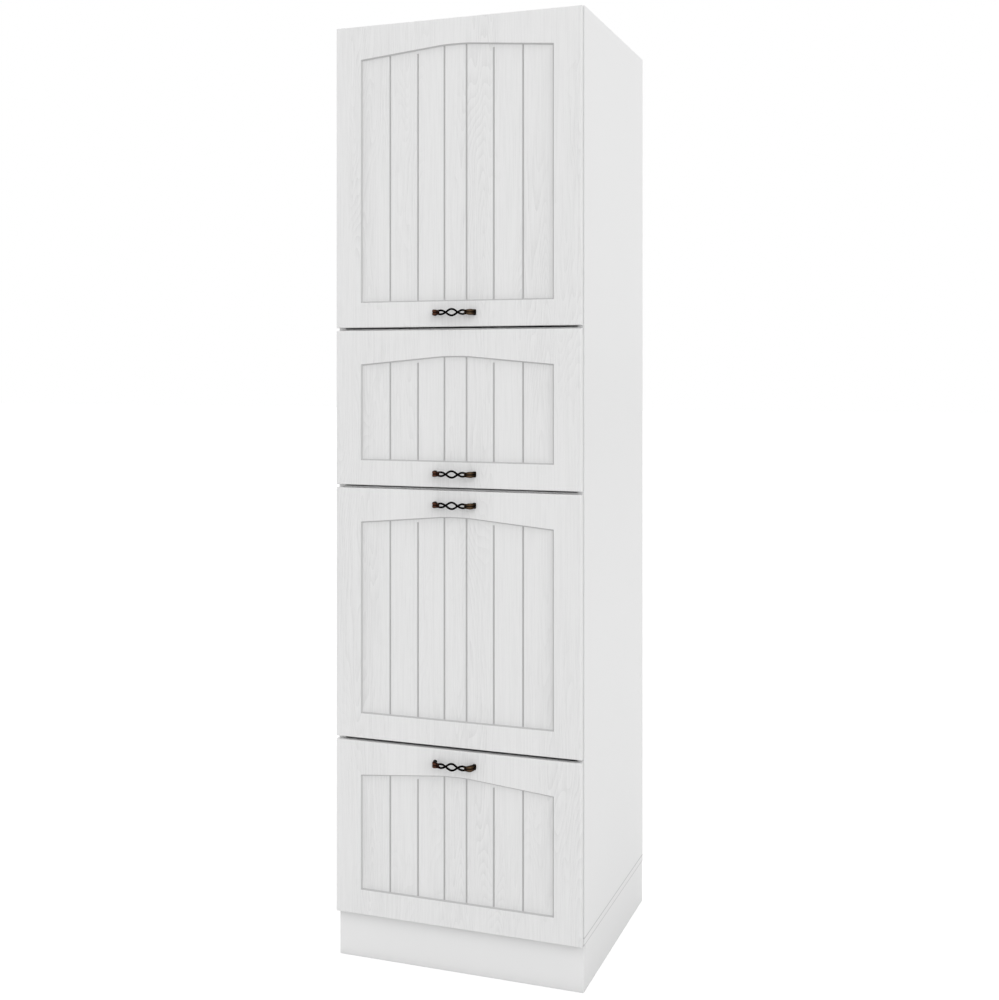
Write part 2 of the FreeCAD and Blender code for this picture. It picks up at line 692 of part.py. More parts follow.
def make_drawer(name, front_z, front_h, box_h):
    """One drawer: front, handle, board box, thin bottom and its runner members."""
    board = front_board(front_h).translated(V(0, 0, front_z))
    add(name + "_front", fit_handle(name, board, front_z + front_h - HANDLE_FROM_EDGE))
    z0 = front_z + BOX_LIFT
    z1 = z0 + box_h
    y0 = Y_FRONT_BACK
    y1 = y0 + BOX_LENGTH
    inner_x = BOX_HALF_W - PANEL_T
    sheet_z = z0 + BOX_BOTTOM_LIFT
    sheet_x = inner_x + BOX_GROOVE
    sheet_y0 = y0 + PANEL_T - BOX_GROOVE
    sheet_y1 = y1 - PANEL_T + BOX_GROOVE
    groove_top = sheet_z + BOX_BOTTOM_T + BOX_GROOVE_PLAY
    slot = box(-sheet_x, sheet_x, sheet_y0, sheet_y1, sheet_z, groove_top)
    side = box(inner_x, BOX_HALF_W, y0, y1, z0, z1).cut(slot)
    add(name + "_side_right", side)
    add(name + "_side_left", mirrored(side))
    add(name + "_box_front", box(-inner_x, inner_x, y0, y0 + PANEL_T, z0, z1).cut(slot))
    add(name + "_box_back", box(-inner_x, inner_x, y1 - PANEL_T, y1, z0, z1).cut(slot))
    sheet = box(-sheet_x, sheet_x, sheet_y0, sheet_y1, sheet_z, sheet_z + BOX_BOTTOM_T)
    add(name + "_bottom", sheet)
    runner_z = z0 + RUNNER_LIFT
    add(name + "_runner_inner", *pair(inner_runner(runner_z)))
    add(name + "_runner_middle", *pair(middle_runner(runner_z)))
    return pair(outer_runner(runner_z))


def cam_pocket(x, y, panel_z):
    """Pocket of one cam disc in the underside of a fixed panel."""
    return peg(V(x, y, panel_z), V(0, 0, CAM_DEPTH), CAM_R, CAM_SIDES)


def cam_disc(x, y, panel_z):
    """Cam disc with its screwdriver slot."""
    half = CAM_SLOT_W / 2
    slot = box(x - half, x + half, y - CAM_R, y + CAM_R, panel_z - CUT_OVER, panel_z + CAM_SLOT_DEPTH)
    return cam_pocket(x, y, panel_z).cut(slot)


def make_carcass():
    """Side panels, fixed panels, loose shelf and the fittings that hold them."""
    cams = []
    cam_x = INNER_X - CAM_EDGE
    cam_rows = (Y_CARCASS + CAM_FRONT_SET, Y_PANEL_BACK - CAM_BACK_SET)
    fixed = {"top_panel": TOP_PANEL_Z, "upper_shelf": UPPER_SHELF_Z, "middle_shelf": MIDDLE_SHELF_Z}
    for name, panel_z in fixed.items():
        places = [(x, y) for x in (cam_x, -cam_x) for y in cam_rows]
        pockets = [cam_pocket(x, y, panel_z) for x, y in places]
        panel = box(-INNER_X, INNER_X, Y_CARCASS, Y_PANEL_BACK, panel_z, panel_z + PANEL_T)
        add(name, panel.cut(Part.makeCompound(pockets)))
        cams += [cam_disc(x, y, panel_z) for x, y in places]
    add("cam_discs", *cams)
    pins = []
    for y in (Y_CARCASS + PIN_FRONT_SET, Y_PANEL_BACK - PIN_BACK_SET):
        low = PIN_R * math.cos(math.pi / SMALL_SIDES)
        start = V(INNER_X - PIN_OUT, y, LOOSE_SHELF_Z - low)
        pins.append(peg(start, V(PIN_OUT + PIN_IN_PANEL, 0, 0), PIN_R, SMALL_SIDES))
    side = box(INNER_X, HALF_W, Y_CARCASS, Y_PANEL_BACK, Z_FLOOR, Z_TOP)
    side = side.cut(Part.makeCompound(pins))
    add("side_panel_right", side)
    add("side_panel_left", mirrored(side))
    add("shelf_pins", *(pins + [mirrored(pin) for pin in pins]))
    add("bottom_panel", box(-HALF_W, HALF_W, Y_CARCASS, Y_PANEL_BACK, PLINTH_H, Z_FLOOR))
    shelf_x = INNER_X - SHELF_END_PLAY
    shelf_y = Y_CARCASS + SHELF_SET_BACK
    loose = box(-shelf_x, shelf_x, shelf_y, Y_PANEL_BACK, LOOSE_SHELF_Z, LOOSE_SHELF_Z + PANEL_T)
    add("loose_shelf", loose)


def make_back():
    """Two thin back sheets and the wall rail with its fixing holes."""
    sheet_x = HALF_W - BACK_INSET
    joint_z = MIDDLE_SHELF_Z + PANEL_T / 2
    half_gap = BACK_JOINT_GAP / 2
    rail_y = Y_PANEL_BACK - PANEL_T
    rail_z = TOP_PANEL_Z - WALL_RAIL_H
    hole_z = rail_z + WALL_RAIL_H / 2
    holes = []
    for x in (-WALL_HOLE_SPACING / 2, WALL_HOLE_SPACING / 2):
        through = PANEL_T + BACK_T + 2 * CUT_OVER
        holes.append(Part.makeCylinder(WALL_HOLE_R, through, V(x, rail_y - CUT_OVER, hole_z), V(0, 1, 0)))
    holes = Part.makeCompound(holes)
    upper = box(-sheet_x, sheet_x, Y_PANEL_BACK, Y_BACK, joint_z + half_gap, Z_TOP - BACK_INSET)
    lower = box(-sheet_x, sheet_x, Y_PANEL_BACK, Y_BACK, PLINTH_H + BACK_INSET, joint_z - half_gap)
    rail = box(-INNER_X, INNER_X, rail_y, Y_PANEL_BACK, rail_z, TOP_PANEL_Z)
    add("back_sheet_upper", upper.cut(holes))
    add("back_sheet_lower", lower)
    add("wall_rail", rail.cut(holes))


def make_plinth():
    """Plinth frame of four boards with glued corner blocks."""
    out_x = HALF_W - PLINTH_INSET
    in_x = out_x - PANEL_T
    front_y = Y_CARCASS + PANEL_T
    back_y1 = Y_BACK - PLINTH_BACK_SET
    back_y0 = back_y1 - PANEL_T
    add("plinth_front", box(-out_x, out_x, Y_CARCASS, front_y, 0.0, PLINTH_H))
    side = box(in_x, out_x, front_y, Y_BACK, 0.0, PLINTH_H)
    add("plinth_side_right", side)
    add("plinth_side_left", mirrored(side))
    add("plinth_back", box(-in_x, in_x, back_y0, back_y1, 0.0, PLINTH_H))
    low_z = PLINTH_H - CORNER_BLOCK_H
    near = box(in_x - CORNER_BLOCK, in_x, front_y, front_y + CORNER_BLOCK, low_z, PLINTH_H)
    far = box(in_x - CORNER_BLOCK, in_x, back_y0 - CORNER_BLOCK, back_y0, low_z, PLINTH_H)
    add("plinth_blocks", *(pair(near) + pair(far)))


def make_buffers():
    """Clear buffers on the front edges of the side panels."""
    heights = [
        LOWER_DRAWER_Z + LOWER_DRAWER_FRONT_H - BUFFER_FROM_EDGE,
        UPPER_DRAWER_Z + UPPER_DRAWER_FRONT_H - BUFFER_FROM_EDGE,
        LOWER_FLAP_Z + BUFFER_FROM_EDGE,
        UPPER_FLAP_Z + BUFFER_FROM_EDGE,
    ]
    buffers = []
    for z in heights:
        start = V(HALF_W - PANEL_T / 2, Y_FRONT_BACK, z)
        buffers += pair(peg(start, V(0, FRONT_STANDOFF, 0), BUFFER_R, SMALL_SIDES))
    add("front_buffers", *buffers)


make_carcass()
make_back()
make_plinth()
make_buffers()
make_flap("upper_flap", UPPER_FLAP_Z, UPPER_FLAP_FRONT_H)
make_flap("lower_flap", LOWER_FLAP_Z, LOWER_FLAP_FRONT_H)
make_flap_hardware()
runners = make_drawer("upper_drawer", UPPER_DRAWER_Z, UPPER_DRAWER_FRONT_H, UPPER_BOX_H)
runners += make_drawer("lower_drawer", LOWER_DRAWER_Z, LOWER_DRAWER_FRONT_H, LOWER_BOX_H)
add("runner_outer", *runners)

os.makedirs("parts", exist_ok=True)
for part_name, part_shape in parts.items():
    part_shape.exportStep("parts/" + part_name + ".step")
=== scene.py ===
"""Finishes, handles, fittings and studio of a tall white kitchen cabinet with four fronts."""

import json
import math

import bmesh
import bpy
from mathutils import Matrix, Vector


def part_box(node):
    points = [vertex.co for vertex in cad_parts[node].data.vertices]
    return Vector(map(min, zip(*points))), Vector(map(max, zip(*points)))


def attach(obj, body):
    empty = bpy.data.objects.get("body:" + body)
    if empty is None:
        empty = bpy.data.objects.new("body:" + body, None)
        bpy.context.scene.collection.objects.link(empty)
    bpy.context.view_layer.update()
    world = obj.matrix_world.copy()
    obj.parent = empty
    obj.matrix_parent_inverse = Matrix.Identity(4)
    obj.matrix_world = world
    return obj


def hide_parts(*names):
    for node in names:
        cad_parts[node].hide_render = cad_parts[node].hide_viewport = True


bl_info = {
    "name": "Tall kitchen cabinet looks",
    "version": (1, 0, 0),
    "blender": (4, 5, 0),
    "location": "3D View > Sidebar > Cabinet",
    "description": "Finishes, handles and fittings of a tall white kitchen cabinet",
    "category": "Object",
}

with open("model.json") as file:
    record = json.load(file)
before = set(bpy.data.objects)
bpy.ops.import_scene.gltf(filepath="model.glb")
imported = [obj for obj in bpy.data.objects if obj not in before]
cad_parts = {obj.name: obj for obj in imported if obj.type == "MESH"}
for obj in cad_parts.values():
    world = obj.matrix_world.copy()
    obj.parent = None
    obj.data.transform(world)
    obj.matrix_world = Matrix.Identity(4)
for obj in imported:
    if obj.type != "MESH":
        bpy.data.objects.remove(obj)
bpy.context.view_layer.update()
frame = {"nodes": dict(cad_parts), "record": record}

NODES = frame["nodes"]
RECORD = frame["record"]
SLOT_OF = {part["node"]: part["material_slot"] for part in RECORD["subparts"]}
BODY_OF = {node: body for body, group in RECORD["behaviour"]["bodies"].items() for node in group}
JOINTS = {joint["name"]: joint for joint in RECORD["behaviour"]["joints"]}
LEAVES = ("upper_flap", "lower_flap", "upper_drawer", "lower_drawer")
FLAPS = LEAVES[:2]
DRAWERS = LEAVES[2:]
CARCASS = "carcass"
FRONT_SLOT = "white_front"
BOARD_SLOTS = ("white_board", "white_sheet", "raw_wood")
SCREW_SLOT = "hinge_steel"

MM = 0.001
BLACK = (0.0, 0.0, 0.0)
WHITE = (1.0, 1.0, 1.0)
ORIGIN = (0.0, 0.0, 0.0)
ACROSS = Vector((1.0, 0.0, 0.0))
BACKWARD = Vector((0.0, 1.0, 0.0))
FORWARD = Vector((0.0, -1.0, 0.0))
UPWARD = Vector((0.0, 0.0, 1.0))
DOWNWARD = Vector((0.0, 0.0, -1.0))


# Settings that a user would change

def number(name, default, description, **more):
    """Setting of one number."""
    return bpy.props.FloatProperty(name=name, default=default, description=description, **more)


def numbers(name, default, description, **more):
    """Setting of several numbers."""
    return bpy.props.FloatVectorProperty(
        name=name, default=default, description=description, size=len(default), **more
    )


def colour(name, default, description):
    """Colour setting."""
    return numbers(name, default, description, min=0.0, max=1.0, subtype="COLOR")


def length(name, default, description):
    """Length setting in metres."""
    return number(name, default, description, min=0.0, precision=5, unit="LENGTH")


class CabinetColours(bpy.types.PropertyGroup):
    """Colours of the cabinet's finishes."""

    front_white: colour("Front", (0.777, 0.777, 0.777), "White foil on the four fronts")
    groove_shade_grey: colour("Groove", (0.50, 0.50, 0.50), "Shadow tone on the routed slopes")
    board_white: colour("Board", (0.825, 0.825, 0.825), "White facing of the carcass boards")
    sheet_white: colour("Back sheet", (0.76, 0.76, 0.74), "Lacquer on the thin back sheets")
    drawer_white: colour("Drawer board", (0.78, 0.78, 0.78), "White facing of the drawer boxes")
    pine: colour("Corner block", (0.56, 0.36, 0.17), "Sawn softwood of the plinth's corner blocks")
    buffer: colour("Buffer", (0.80, 0.81, 0.82), "Clear soft buffers")
    nickel: colour("Nickel", (0.60, 0.59, 0.57), "Plated hinges and screws")
    zinc: colour("Zinc", (0.52, 0.54, 0.57), "Plated runners, brackets and cams")
    strut_grey: colour("Strut", (0.23, 0.24, 0.25), "Paint on the gas cylinders")
    chrome: colour("Rod", (0.66, 0.66, 0.67), "Polished piston rods")
    bronze_end: colour("Handle end", (0.082, 0.052, 0.030), "Rubbed bronze on the handle's ends")
    # Painted light: this copper tone is mixed in toward the left end as a tint from how light fell on the
    # two ends, beside random clouds.
    bronze_red: colour("Handle copper", (0.105, 0.044, 0.028), "Copper tone worn through on the ends")
    bronze_bar: colour("Handle bar", (0.002, 0.0017, 0.0017), "Blackened bars of the grip")
    bronze_sheen: colour("Handle sheen", (0.25, 0.16, 0.11), "Tint of the gloss at the handle's edges")


class CabinetSizes(bpy.types.PropertyGroup):
    """Sizes of the details that dress the cabinet."""

    edge_ease: length("Edge ease", 0.0006, "Rounding along board edges")
    foil_ease: length("Foil ease", 0.0007, "Rounding along the routed lines of a front")
    metal_ease: length("Metal ease", 0.00015, "Rounding along the edges of fittings and drawer boxes")
    bar_width: length("Bar width", 0.0046, "Thickness of the two bars in the grip")
    bar_cross: length("Bar crossing", 0.0144, "Distance of the crossings from the middle")
    bar_weave: length("Bar weave", 0.0008, "How far a bar passes over or under the other")
    eye_half: length("Middle eye", 0.0073, "Half height of the middle eye")
    side_eye_half: length("Side eye", 0.0044, "Half height of the side eyes")
    side_eye_run: length("Side eye run", 0.0241, "Length over which a side eye opens and closes")
    screw_head: length("Screw head", 0.0036, "Radius of the small pan heads")
    nail_head: length("Nail head", 0.0022, "Radius of the nails in the back sheets")
    nail_step: length("Nail step", 0.135, "Distance between nails")
    nail_inset: length("Nail inset", 0.008, "Distance of the nails from the sheet's edge")


class CabinetStage(bpy.types.PropertyGroup):
    """Camera, light and floor."""

    camera_place: numbers(
        "Camera", (1.108244, -3.141828, 1.373064), "Where it stands", subtype="TRANSLATION", unit="LENGTH"
    )
    camera_turn: number("Turn", 0.354808, "Camera's turn to the left", subtype="ANGLE")
    lens: number("Lens", 48.584178, "Focal length in mm")
    shift: numbers("Shift", (0.025186, -0.127295), "Sideways and upward shift of the picture")
    floor_size: length("Floor", 90.0, "Side of the square floor")
    floor_glow: number("Floor glow", 0.76, "White that the floor shows by itself")
    floor_gloss: number("Floor in gloss", 0.66, "The same as seen in a glossy surface")
    floor_shadow: number("Floor shadow", 0.35, "How strongly the floor shows light and shadow")
    floor_tone: number("Floor tone", 0.665, "How much light the floor throws back")
    # Painted contact shade: tone of the light the floor throws back right at the plinth.
    contact_shade_tone: number("Contact tone", 0.27, "The same right at the plinth")
    front_reach: length("Front contact", 0.02, "Distance over which the shade before the plinth fades")
    side_reach: length("Side contact", 1.60, "Distance over which the shade beside the plinth fades")
    ambient: number("Ambient", 0.745, "Strength of the even light")
    sun_width: number("Sun width", math.radians(80.0), "How broad both suns are", subtype="ANGLE")
    key: number("Key", 1.45, "Strength of the sun from the right front")
    key_way: numbers("Key direction", (-0.65, 0.72, -0.3), "Where the key shines to", subtype="XYZ")
    fill: number("Fill", 0.60, "Strength of the sun from the left rear")
    fill_way: numbers("Fill direction", (0.7, -0.6, -0.4), "Where the fill shines to", subtype="XYZ")


# Node trees

NOISE_RANGE = (0.3, 0.7)


class Nodes:
    """Short ways to add and join the nodes of a finish or of the surroundings."""

    def __init__(self, tree):
        self.nodes = tree.nodes
        self.links = tree.links

    def feed(self, socket, value):
        """Link a socket or set its value."""
        if isinstance(value, bpy.types.NodeSocket):
            self.links.new(value, socket)
        else:
            socket.default_value = value

    def add(self, kind, inputs, **settings):
        """New node with its settings and inputs."""
        node = self.nodes.new("ShaderNode" + kind)
        for key, value in settings.items():
            setattr(node, key, value)
        for key, value in inputs.items():
            self.feed(node.inputs[key], value)
        return node

    def axes(self, kind="Object"):
        """X, Y and Z of a point: its Object place, Generated share of the piece, or Normal."""
        where = self.add("TexCoord", {}).outputs[kind]
        return self.add("SeparateXYZ", {"Vector": where}).outputs

    def noise(self, fineness, detail=2.0, roughness=0.5, distortion=0.0):
        """Cloudy pattern with one fineness, or one along each axis."""
        if isinstance(fineness, float):
            fineness = (fineness,) * 3
        where = self.add("TexCoord", {}).outputs["Object"]
        inputs = {
            "Vector": self.add("Mapping", {"Vector": where, "Scale": fineness}).outputs["Vector"],
            "Scale": 1.0, "Detail": detail, "Roughness": roughness, "Distortion": distortion,
        }
        return self.add("TexNoise", inputs).outputs["Fac"]

    def calc(self, operation, first, second=0.0):
        """Arithmetic on two values."""
        return self.add("Math", {0: first, 1: second}, operation=operation).outputs[0]

    def plus(self, first, second):
        """Sum of two values."""
        return self.calc("ADD", first, second)

    def minus(self, first, second):
        """First value less the second."""
        return self.calc("SUBTRACT", first, second)

    def times(self, first, second):
        """Product of two values."""
        return self.calc("MULTIPLY", first, second)

    def below(self, value, limit):
        """One where a value is below a limit, else zero."""
        return self.calc("LESS_THAN", value, limit)

    def apart(self, first, second=0.0):
        """Distance between two values."""
        return self.calc("ABSOLUTE", self.minus(first, second))

    def weighed(self, *parts):
        """Sum of values, each times its share."""
        total = 0.0
        for value, share in parts:
            total = self.plus(self.times(value, share), total)
        return total

    def span(self, value, low, high, to_low=0.0, to_high=1.0):
        """Value carried from one range to another, held at its ends."""
        inputs = {"Value": value, "From Min": low, "From Max": high, "To Min": to_low, "To Max": to_high}
        return self.add("MapRange", inputs).outputs["Result"]

    def mix(self, factor, first, second):
        """Colour between two colours."""
        inputs = {0: factor, 6: opaque(first), 7: opaque(second)}
        return self.add("Mix", inputs, data_type="RGBA").outputs[2]

    def seen(self, rays):
        """One for what is seen straight, in gloss or through something clear, zero for its light."""
        shiny = self.calc("MAXIMUM", rays["Is Glossy Ray"], rays["Is Transmission Ray"])
        return self.calc("MAXIMUM", rays["Is Camera Ray"], shiny)


class Finish(Nodes):
    """A new material and its surface."""

    def __init__(self, name, roughness, metallic=0.0):
        self.material = bpy.data.materials.new(name)
        self.material.use_nodes = True
        super().__init__(self.material.node_tree)
        self.surface = self.nodes["Principled BSDF"]
        self.set("Roughness", roughness)
        self.set("Metallic", metallic)

    def set(self, socket, value):
        """Give the surface's socket a value or a link."""
        self.feed(self.surface.inputs[socket], value)

    def shades(self, pattern, tone, low, high):
        """Colour that follows a pattern between two shades of a tone."""
        return self.mix(pattern, scaled(tone, low), scaled(tone, high))

    def gloss(self, pattern, low, high):
        """Let the roughness follow a pattern between two values."""
        self.set("Roughness", self.span(pattern, *NOISE_RANGE, low, high))

    def bump(self, height, distance):
        """Fine relief on the surface."""
        inputs = {"Height": height, "Distance": distance}
        self.set("Normal", self.add("Bump", inputs).outputs["Normal"])


def opaque(value):
    """A colour with full cover, or a link as it is."""
    if isinstance(value, bpy.types.NodeSocket):
        return value
    return (*value, 1.0)


def scaled(value, factor):
    """A lighter or darker tone of a colour."""
    return tuple(min(1.0, channel * factor) for channel in value)


# Foil on the fronts

YEAR_LINES = 38.0
YEAR_FADE = 1.6
PORES_OFF_FIGURE = 0.2
ROUTED_TURN = (0.97, 0.75)
ROUTED_DEPTH = 0.45
ROUTED_MARGINS = (("X", 0.45), ("Z", 0.47))
PANEL_DEPTH = 4.0 * MM
SAME_PLACE = 0.2 * MM
RECESS_SHADES = ((18.0 * MM, 0.06), (60.0 * MM, 0.04))
REAR_EDGE_REACH = 8.0 * MM
REAR_EDGE_SHADE = 0.35
SIDE_TURN = 0.5


def foil_finish(colours):
    """White wrapping foil with a faint upright wood grain, greyer with painted shade on the routed slopes,
    along the sunk panel's border and at the rear side edges.
    """
    foil = Finish("white_foil", 0.42)
    streaks = foil.noise((300.0, 300.0, 8.0), roughness=0.6)
    grain = wood_grain(foil, streaks)
    tone = foil.shades(foil.span(grain, 0.1, 0.85), colours.front_white, 1.05, 0.905)
    tone = foil.mix(recess_shade(foil), tone, BLACK)
    # Painted shade along the rear of the left and right edges.
    tone = foil.mix(rear_edge_shade(foil), tone, BLACK)
    # Painted shade: the routed slopes take the groove's shadow tone.
    foil.set("Base Color", foil.mix(routed_slope_shade(foil), tone, colours.groove_shade_grey))
    foil.gloss(streaks, 0.36, 0.48)
    foil.bump(foil.minus(1.0, grain), 0.15 * MM)
    return foil.material


def wood_grain(foil, streaks):
    """Upright year lines in patches, with fine streaks and pores."""
    field = foil.noise((13.0, 13.0, 1.4), roughness=0.4, distortion=0.25)
    year = foil.calc("FRACT", foil.times(field, YEAR_LINES))
    year = foil.calc("POWER", foil.minus(1.0, year), YEAR_FADE)
    patches = foil.span(foil.noise((11.0, 11.0, 1.6), detail=1.0), 0.4, 0.62)
    figure = foil.times(year, patches)
    pores = foil.span(foil.noise((1700.0, 1700.0, 60.0), detail=1.0), 0.5, 0.64)
    pores = foil.times(pores, foil.span(figure, 0.0, 1.0, PORES_OFF_FIGURE, 1.0))
    lines = foil.span(streaks, *NOISE_RANGE)
    return foil.weighed((figure, 0.28), (lines, 0.32), (pores, 0.42))


def routed_slope_shade(foil):
    """Where painted shade falls on a front's face sloping into its recess and grooves, less where the
    slope looks down.
    """
    facing = foil.axes("Normal")
    share = foil.axes("Generated")
    slope = foil.span(foil.apart(facing["Y"]), *ROUTED_TURN)
    inside = foil.below(share["Y"], ROUTED_DEPTH)
    for axis, margin in ROUTED_MARGINS:
        inside = foil.times(inside, foil.below(foil.apart(share[axis], 0.5), margin))
    lit = foil.span(facing["Z"], -0.5, 0.0, 0.75, 1.0)
    return foil.times(foil.times(slope, inside), lit)


def recess_shade(foil):
    """Soft shade on a front's sunk panel, strongest along its border and gone well inside it."""
    axes = foil.axes()
    aside = foil.apart(axes["X"])
    inward = -1.0
    for leaf in LEAVES:
        low, high, flat, shoulder = sunk_panel(leaf + "_front")
        fall = (high.z - shoulder) / (high.x - flat)
        drop = foil.times(foil.calc("MAXIMUM", foil.minus(aside, flat), 0.0), fall)
        below_arch = foil.minus(foil.minus(high.z, drop), axes["Z"])
        nearest = foil.calc("MINIMUM", below_arch, foil.minus(axes["Z"], low.z))
        nearest = foil.calc("MINIMUM", nearest, foil.minus(high.x, aside))
        inward = foil.calc("MAXIMUM", nearest, inward)
    face, back = (corner.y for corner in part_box(LEAVES[0] + "_front"))
    on_panel = foil.times(foil.below(axes["Y"], 0.5 * (face + back)), foil.below(0.0, inward))
    borders = []
    for reach, strength in RECESS_SHADES:
        borders.append((foil.calc("POWER", foil.span(inward, 0.0, reach, 1.0, 0.0), 2.0), strength))
    return foil.times(on_panel, foil.weighed(*borders))


def rear_edge_shade(foil):
    """Painted shade: a darker line along a front's left and right edge toward the back, deepening the
    shadow line between front and side panel.
    """
    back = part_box(LEAVES[0] + "_front")[1].y
    line = foil.span(foil.axes()["Y"], back - REAR_EDGE_REACH, back, 0.0, REAR_EDGE_SHADE)
    return foil.times(line, foil.below(SIDE_TURN, foil.apart(foil.axes("Normal")["X"])))


def sunk_panel(front):
    """Corners of a front's sunk panel, how wide its arch is flat, and the height of its shoulders."""
    floor_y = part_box(front)[0].y + PANEL_DEPTH
    points = [vertex.co for vertex in NODES[front].data.vertices]
    floor = [point for point in points if abs(point.y - floor_y) < SAME_PLACE]
    low, high = corners(floor)
    flat = max(point.x for point in floor if point.z > high.z - SAME_PLACE)
    shoulder = max(point.z for point in floor if point.x > high.x - SAME_PLACE)
    return low, high, flat, shoulder


# Boards

SEAM_TONE = 0.66
SEAM_FADE = 2.2 * MM
SEAM_CORE = 0.8 * MM
LOWER_SEAM_WIDER = 1.0 * MM
PLINTH_SHADE = 0.11
PLINTH_SHADE_REACH = 40.0 * MM


def board_finish(name, white):
    """Satin white facing with a fine pearl texture, greyer at the bottom panel and below the fronts."""
    board = Finish(name, 0.36)
    axes = board.axes()
    pearl = board.noise(1500.0)
    tone = board.shades(board.noise(3.0, detail=3.0), white, 0.994, 1.006)
    tone = board.mix(seam_lines(board, axes["Z"]), tone, scaled(white, SEAM_TONE))
    board.set("Base Color", board.mix(plinth_shade(board, axes), tone, BLACK))
    board.gloss(pearl, 0.30, 0.42)
    board.bump(pearl, 0.02 * MM)
    return board.material


def seam_lines(board, height):
    """Grey lines where the bottom panel's edge meets the side panel and the plinth."""
    low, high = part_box("bottom_panel")
    middle = 0.5 * (low.z + high.z)
    from_seam = board.apart(board.apart(height, middle), 0.5 * (high.z - low.z))
    wider = board.times(board.below(height, middle), LOWER_SEAM_WIDER)
    return board.span(board.minus(from_seam, wider), SEAM_FADE, SEAM_CORE)


def plinth_shade(board, axes):
    """Shade that the fronts leave on the plinth's face below them."""
    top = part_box("bottom_panel")[0].z
    on_face = board.below(axes["Y"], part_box("plinth_front")[1].y)
    on_face = board.times(on_face, board.below(axes["Z"], top))
    shade = board.calc("POWER", board.span(axes["Z"], top - PLINTH_SHADE_REACH, top), 2.0)
    return board.times(shade, board.times(on_face, PLINTH_SHADE))


def sheet_finish(white):
    """Lacquered hardboard with a fine fibre mottle."""
    sheet = Finish("lacquered_hardboard", 0.5)
    fibre = sheet.noise(700.0, detail=4.0, roughness=0.65)
    clouded = sheet.shades(sheet.noise(6.0, detail=3.0), white, 0.97, 1.0)
    sheet.set("Base Color", sheet.mix(sheet.span(fibre, 0.3, 0.75), clouded, scaled(white, 0.93)))
    sheet.gloss(fibre, 0.42, 0.58)
    sheet.bump(fibre, 0.05 * MM)
    return sheet.material


def pine_finish(tone):
    """Sawn softwood with upright year rings and saw marks."""
    pine = Finish("sawn_pine", 0.7)
    field = pine.noise((40.0, 40.0, 3.0), detail=1.0, distortion=0.4)
    rings = pine.span(pine.calc("SINE", pine.times(field, 60.0)), -1.0, 1.0)
    pine.set("Base Color", pine.shades(rings, tone, 1.0, 0.62))
    pine.bump(pine.noise((90.0, 90.0, 900.0)), 0.1 * MM)
    return pine.material


# Metal, paint and buffers

RUBBED = "rubbed"
PAINTED_SIDE_LIGHT_REACH = 30.0 * MM


def buffer_finish(tone):
    """Clear soft buffer, slightly clouded."""
    clear = Finish("clear_buffer", 0.25)
    clouds = clear.noise(300.0)
    clear.set("Base Color", clear.shades(clouds, tone, 1.0, 0.94))
    clear.gloss(clouds, 0.2, 0.32)
    clear.set("Transmission Weight", 0.35)
    clear.set("IOR", 1.42)
    return clear.material


def metal_finish(name, tone, roughness, fineness, relief):
    """Plated metal with drawing lines along its length and cloudy gloss."""
    metal = Finish(name, roughness, metallic=1.0)
    lines = metal.noise(fineness, detail=3.0)
    metal.set("Base Color", metal.shades(metal.noise(60.0, detail=3.0), tone, 0.9, 1.08))
    metal.gloss(lines, roughness * 0.8, roughness * 1.2)
    metal.bump(lines, relief)
    return metal.material


def strut_finish(tone):
    """Satin grey paint on the gas cylinders."""
    paint = Finish("strut_paint", 0.38)
    peel = paint.noise(900.0)
    paint.set("Base Color", paint.shades(paint.noise(30.0, detail=3.0), tone, 0.93, 1.06))
    paint.gloss(peel, 0.32, 0.44)
    paint.bump(peel, 0.03 * MM)
    return paint.material


def bronze_finish(colours):
    """Antique bronze: dark in its hollows, rubbed brown where it stands out, coppery in random clouds,
    with a painted light tint that is redder on the left end than the right.
    """
    bronze = Finish("antique_bronze", 0.42, metallic=0.7)
    rubbed = bronze.add("Attribute", {}, attribute_name=RUBBED).outputs["Fac"]
    clouds = bronze.span(bronze.noise(140.0, detail=4.0, roughness=0.6), 0.35, 0.68, -0.3, 0.3)
    # Painted light: the ends turn redder toward the left and browner toward the right, as light fell on
    # them; the clouds add random copper tone.
    copper = bronze.plus(clouds, bronze.span(bronze.axes()["X"], PAINTED_SIDE_LIGHT_REACH, -PAINTED_SIDE_LIGHT_REACH))
    brown = bronze.mix(copper, colours.bronze_end, colours.bronze_red)
    pits = bronze.noise(900.0, detail=3.0)
    mottle = bronze.times(bronze.span(pits, *NOISE_RANGE, -0.25, 0.25), bronze.plus(rubbed, 0.2))
    patchy = bronze.plus(rubbed, mottle)
    bronze.set("Base Color", bronze.mix(bronze.span(patchy, 0.1, 0.9), colours.bronze_bar, brown))
    bronze.set("Roughness", bronze.span(patchy, 0.0, 1.0, 0.52, 0.34))
    bronze.set("Specular IOR Level", 0.05)
    bronze.set("Specular Tint", opaque(colours.bronze_sheen))
    bronze.bump(pits, 0.08 * MM)
    return bronze.material


# Finishes by slot

FINISHES = {}


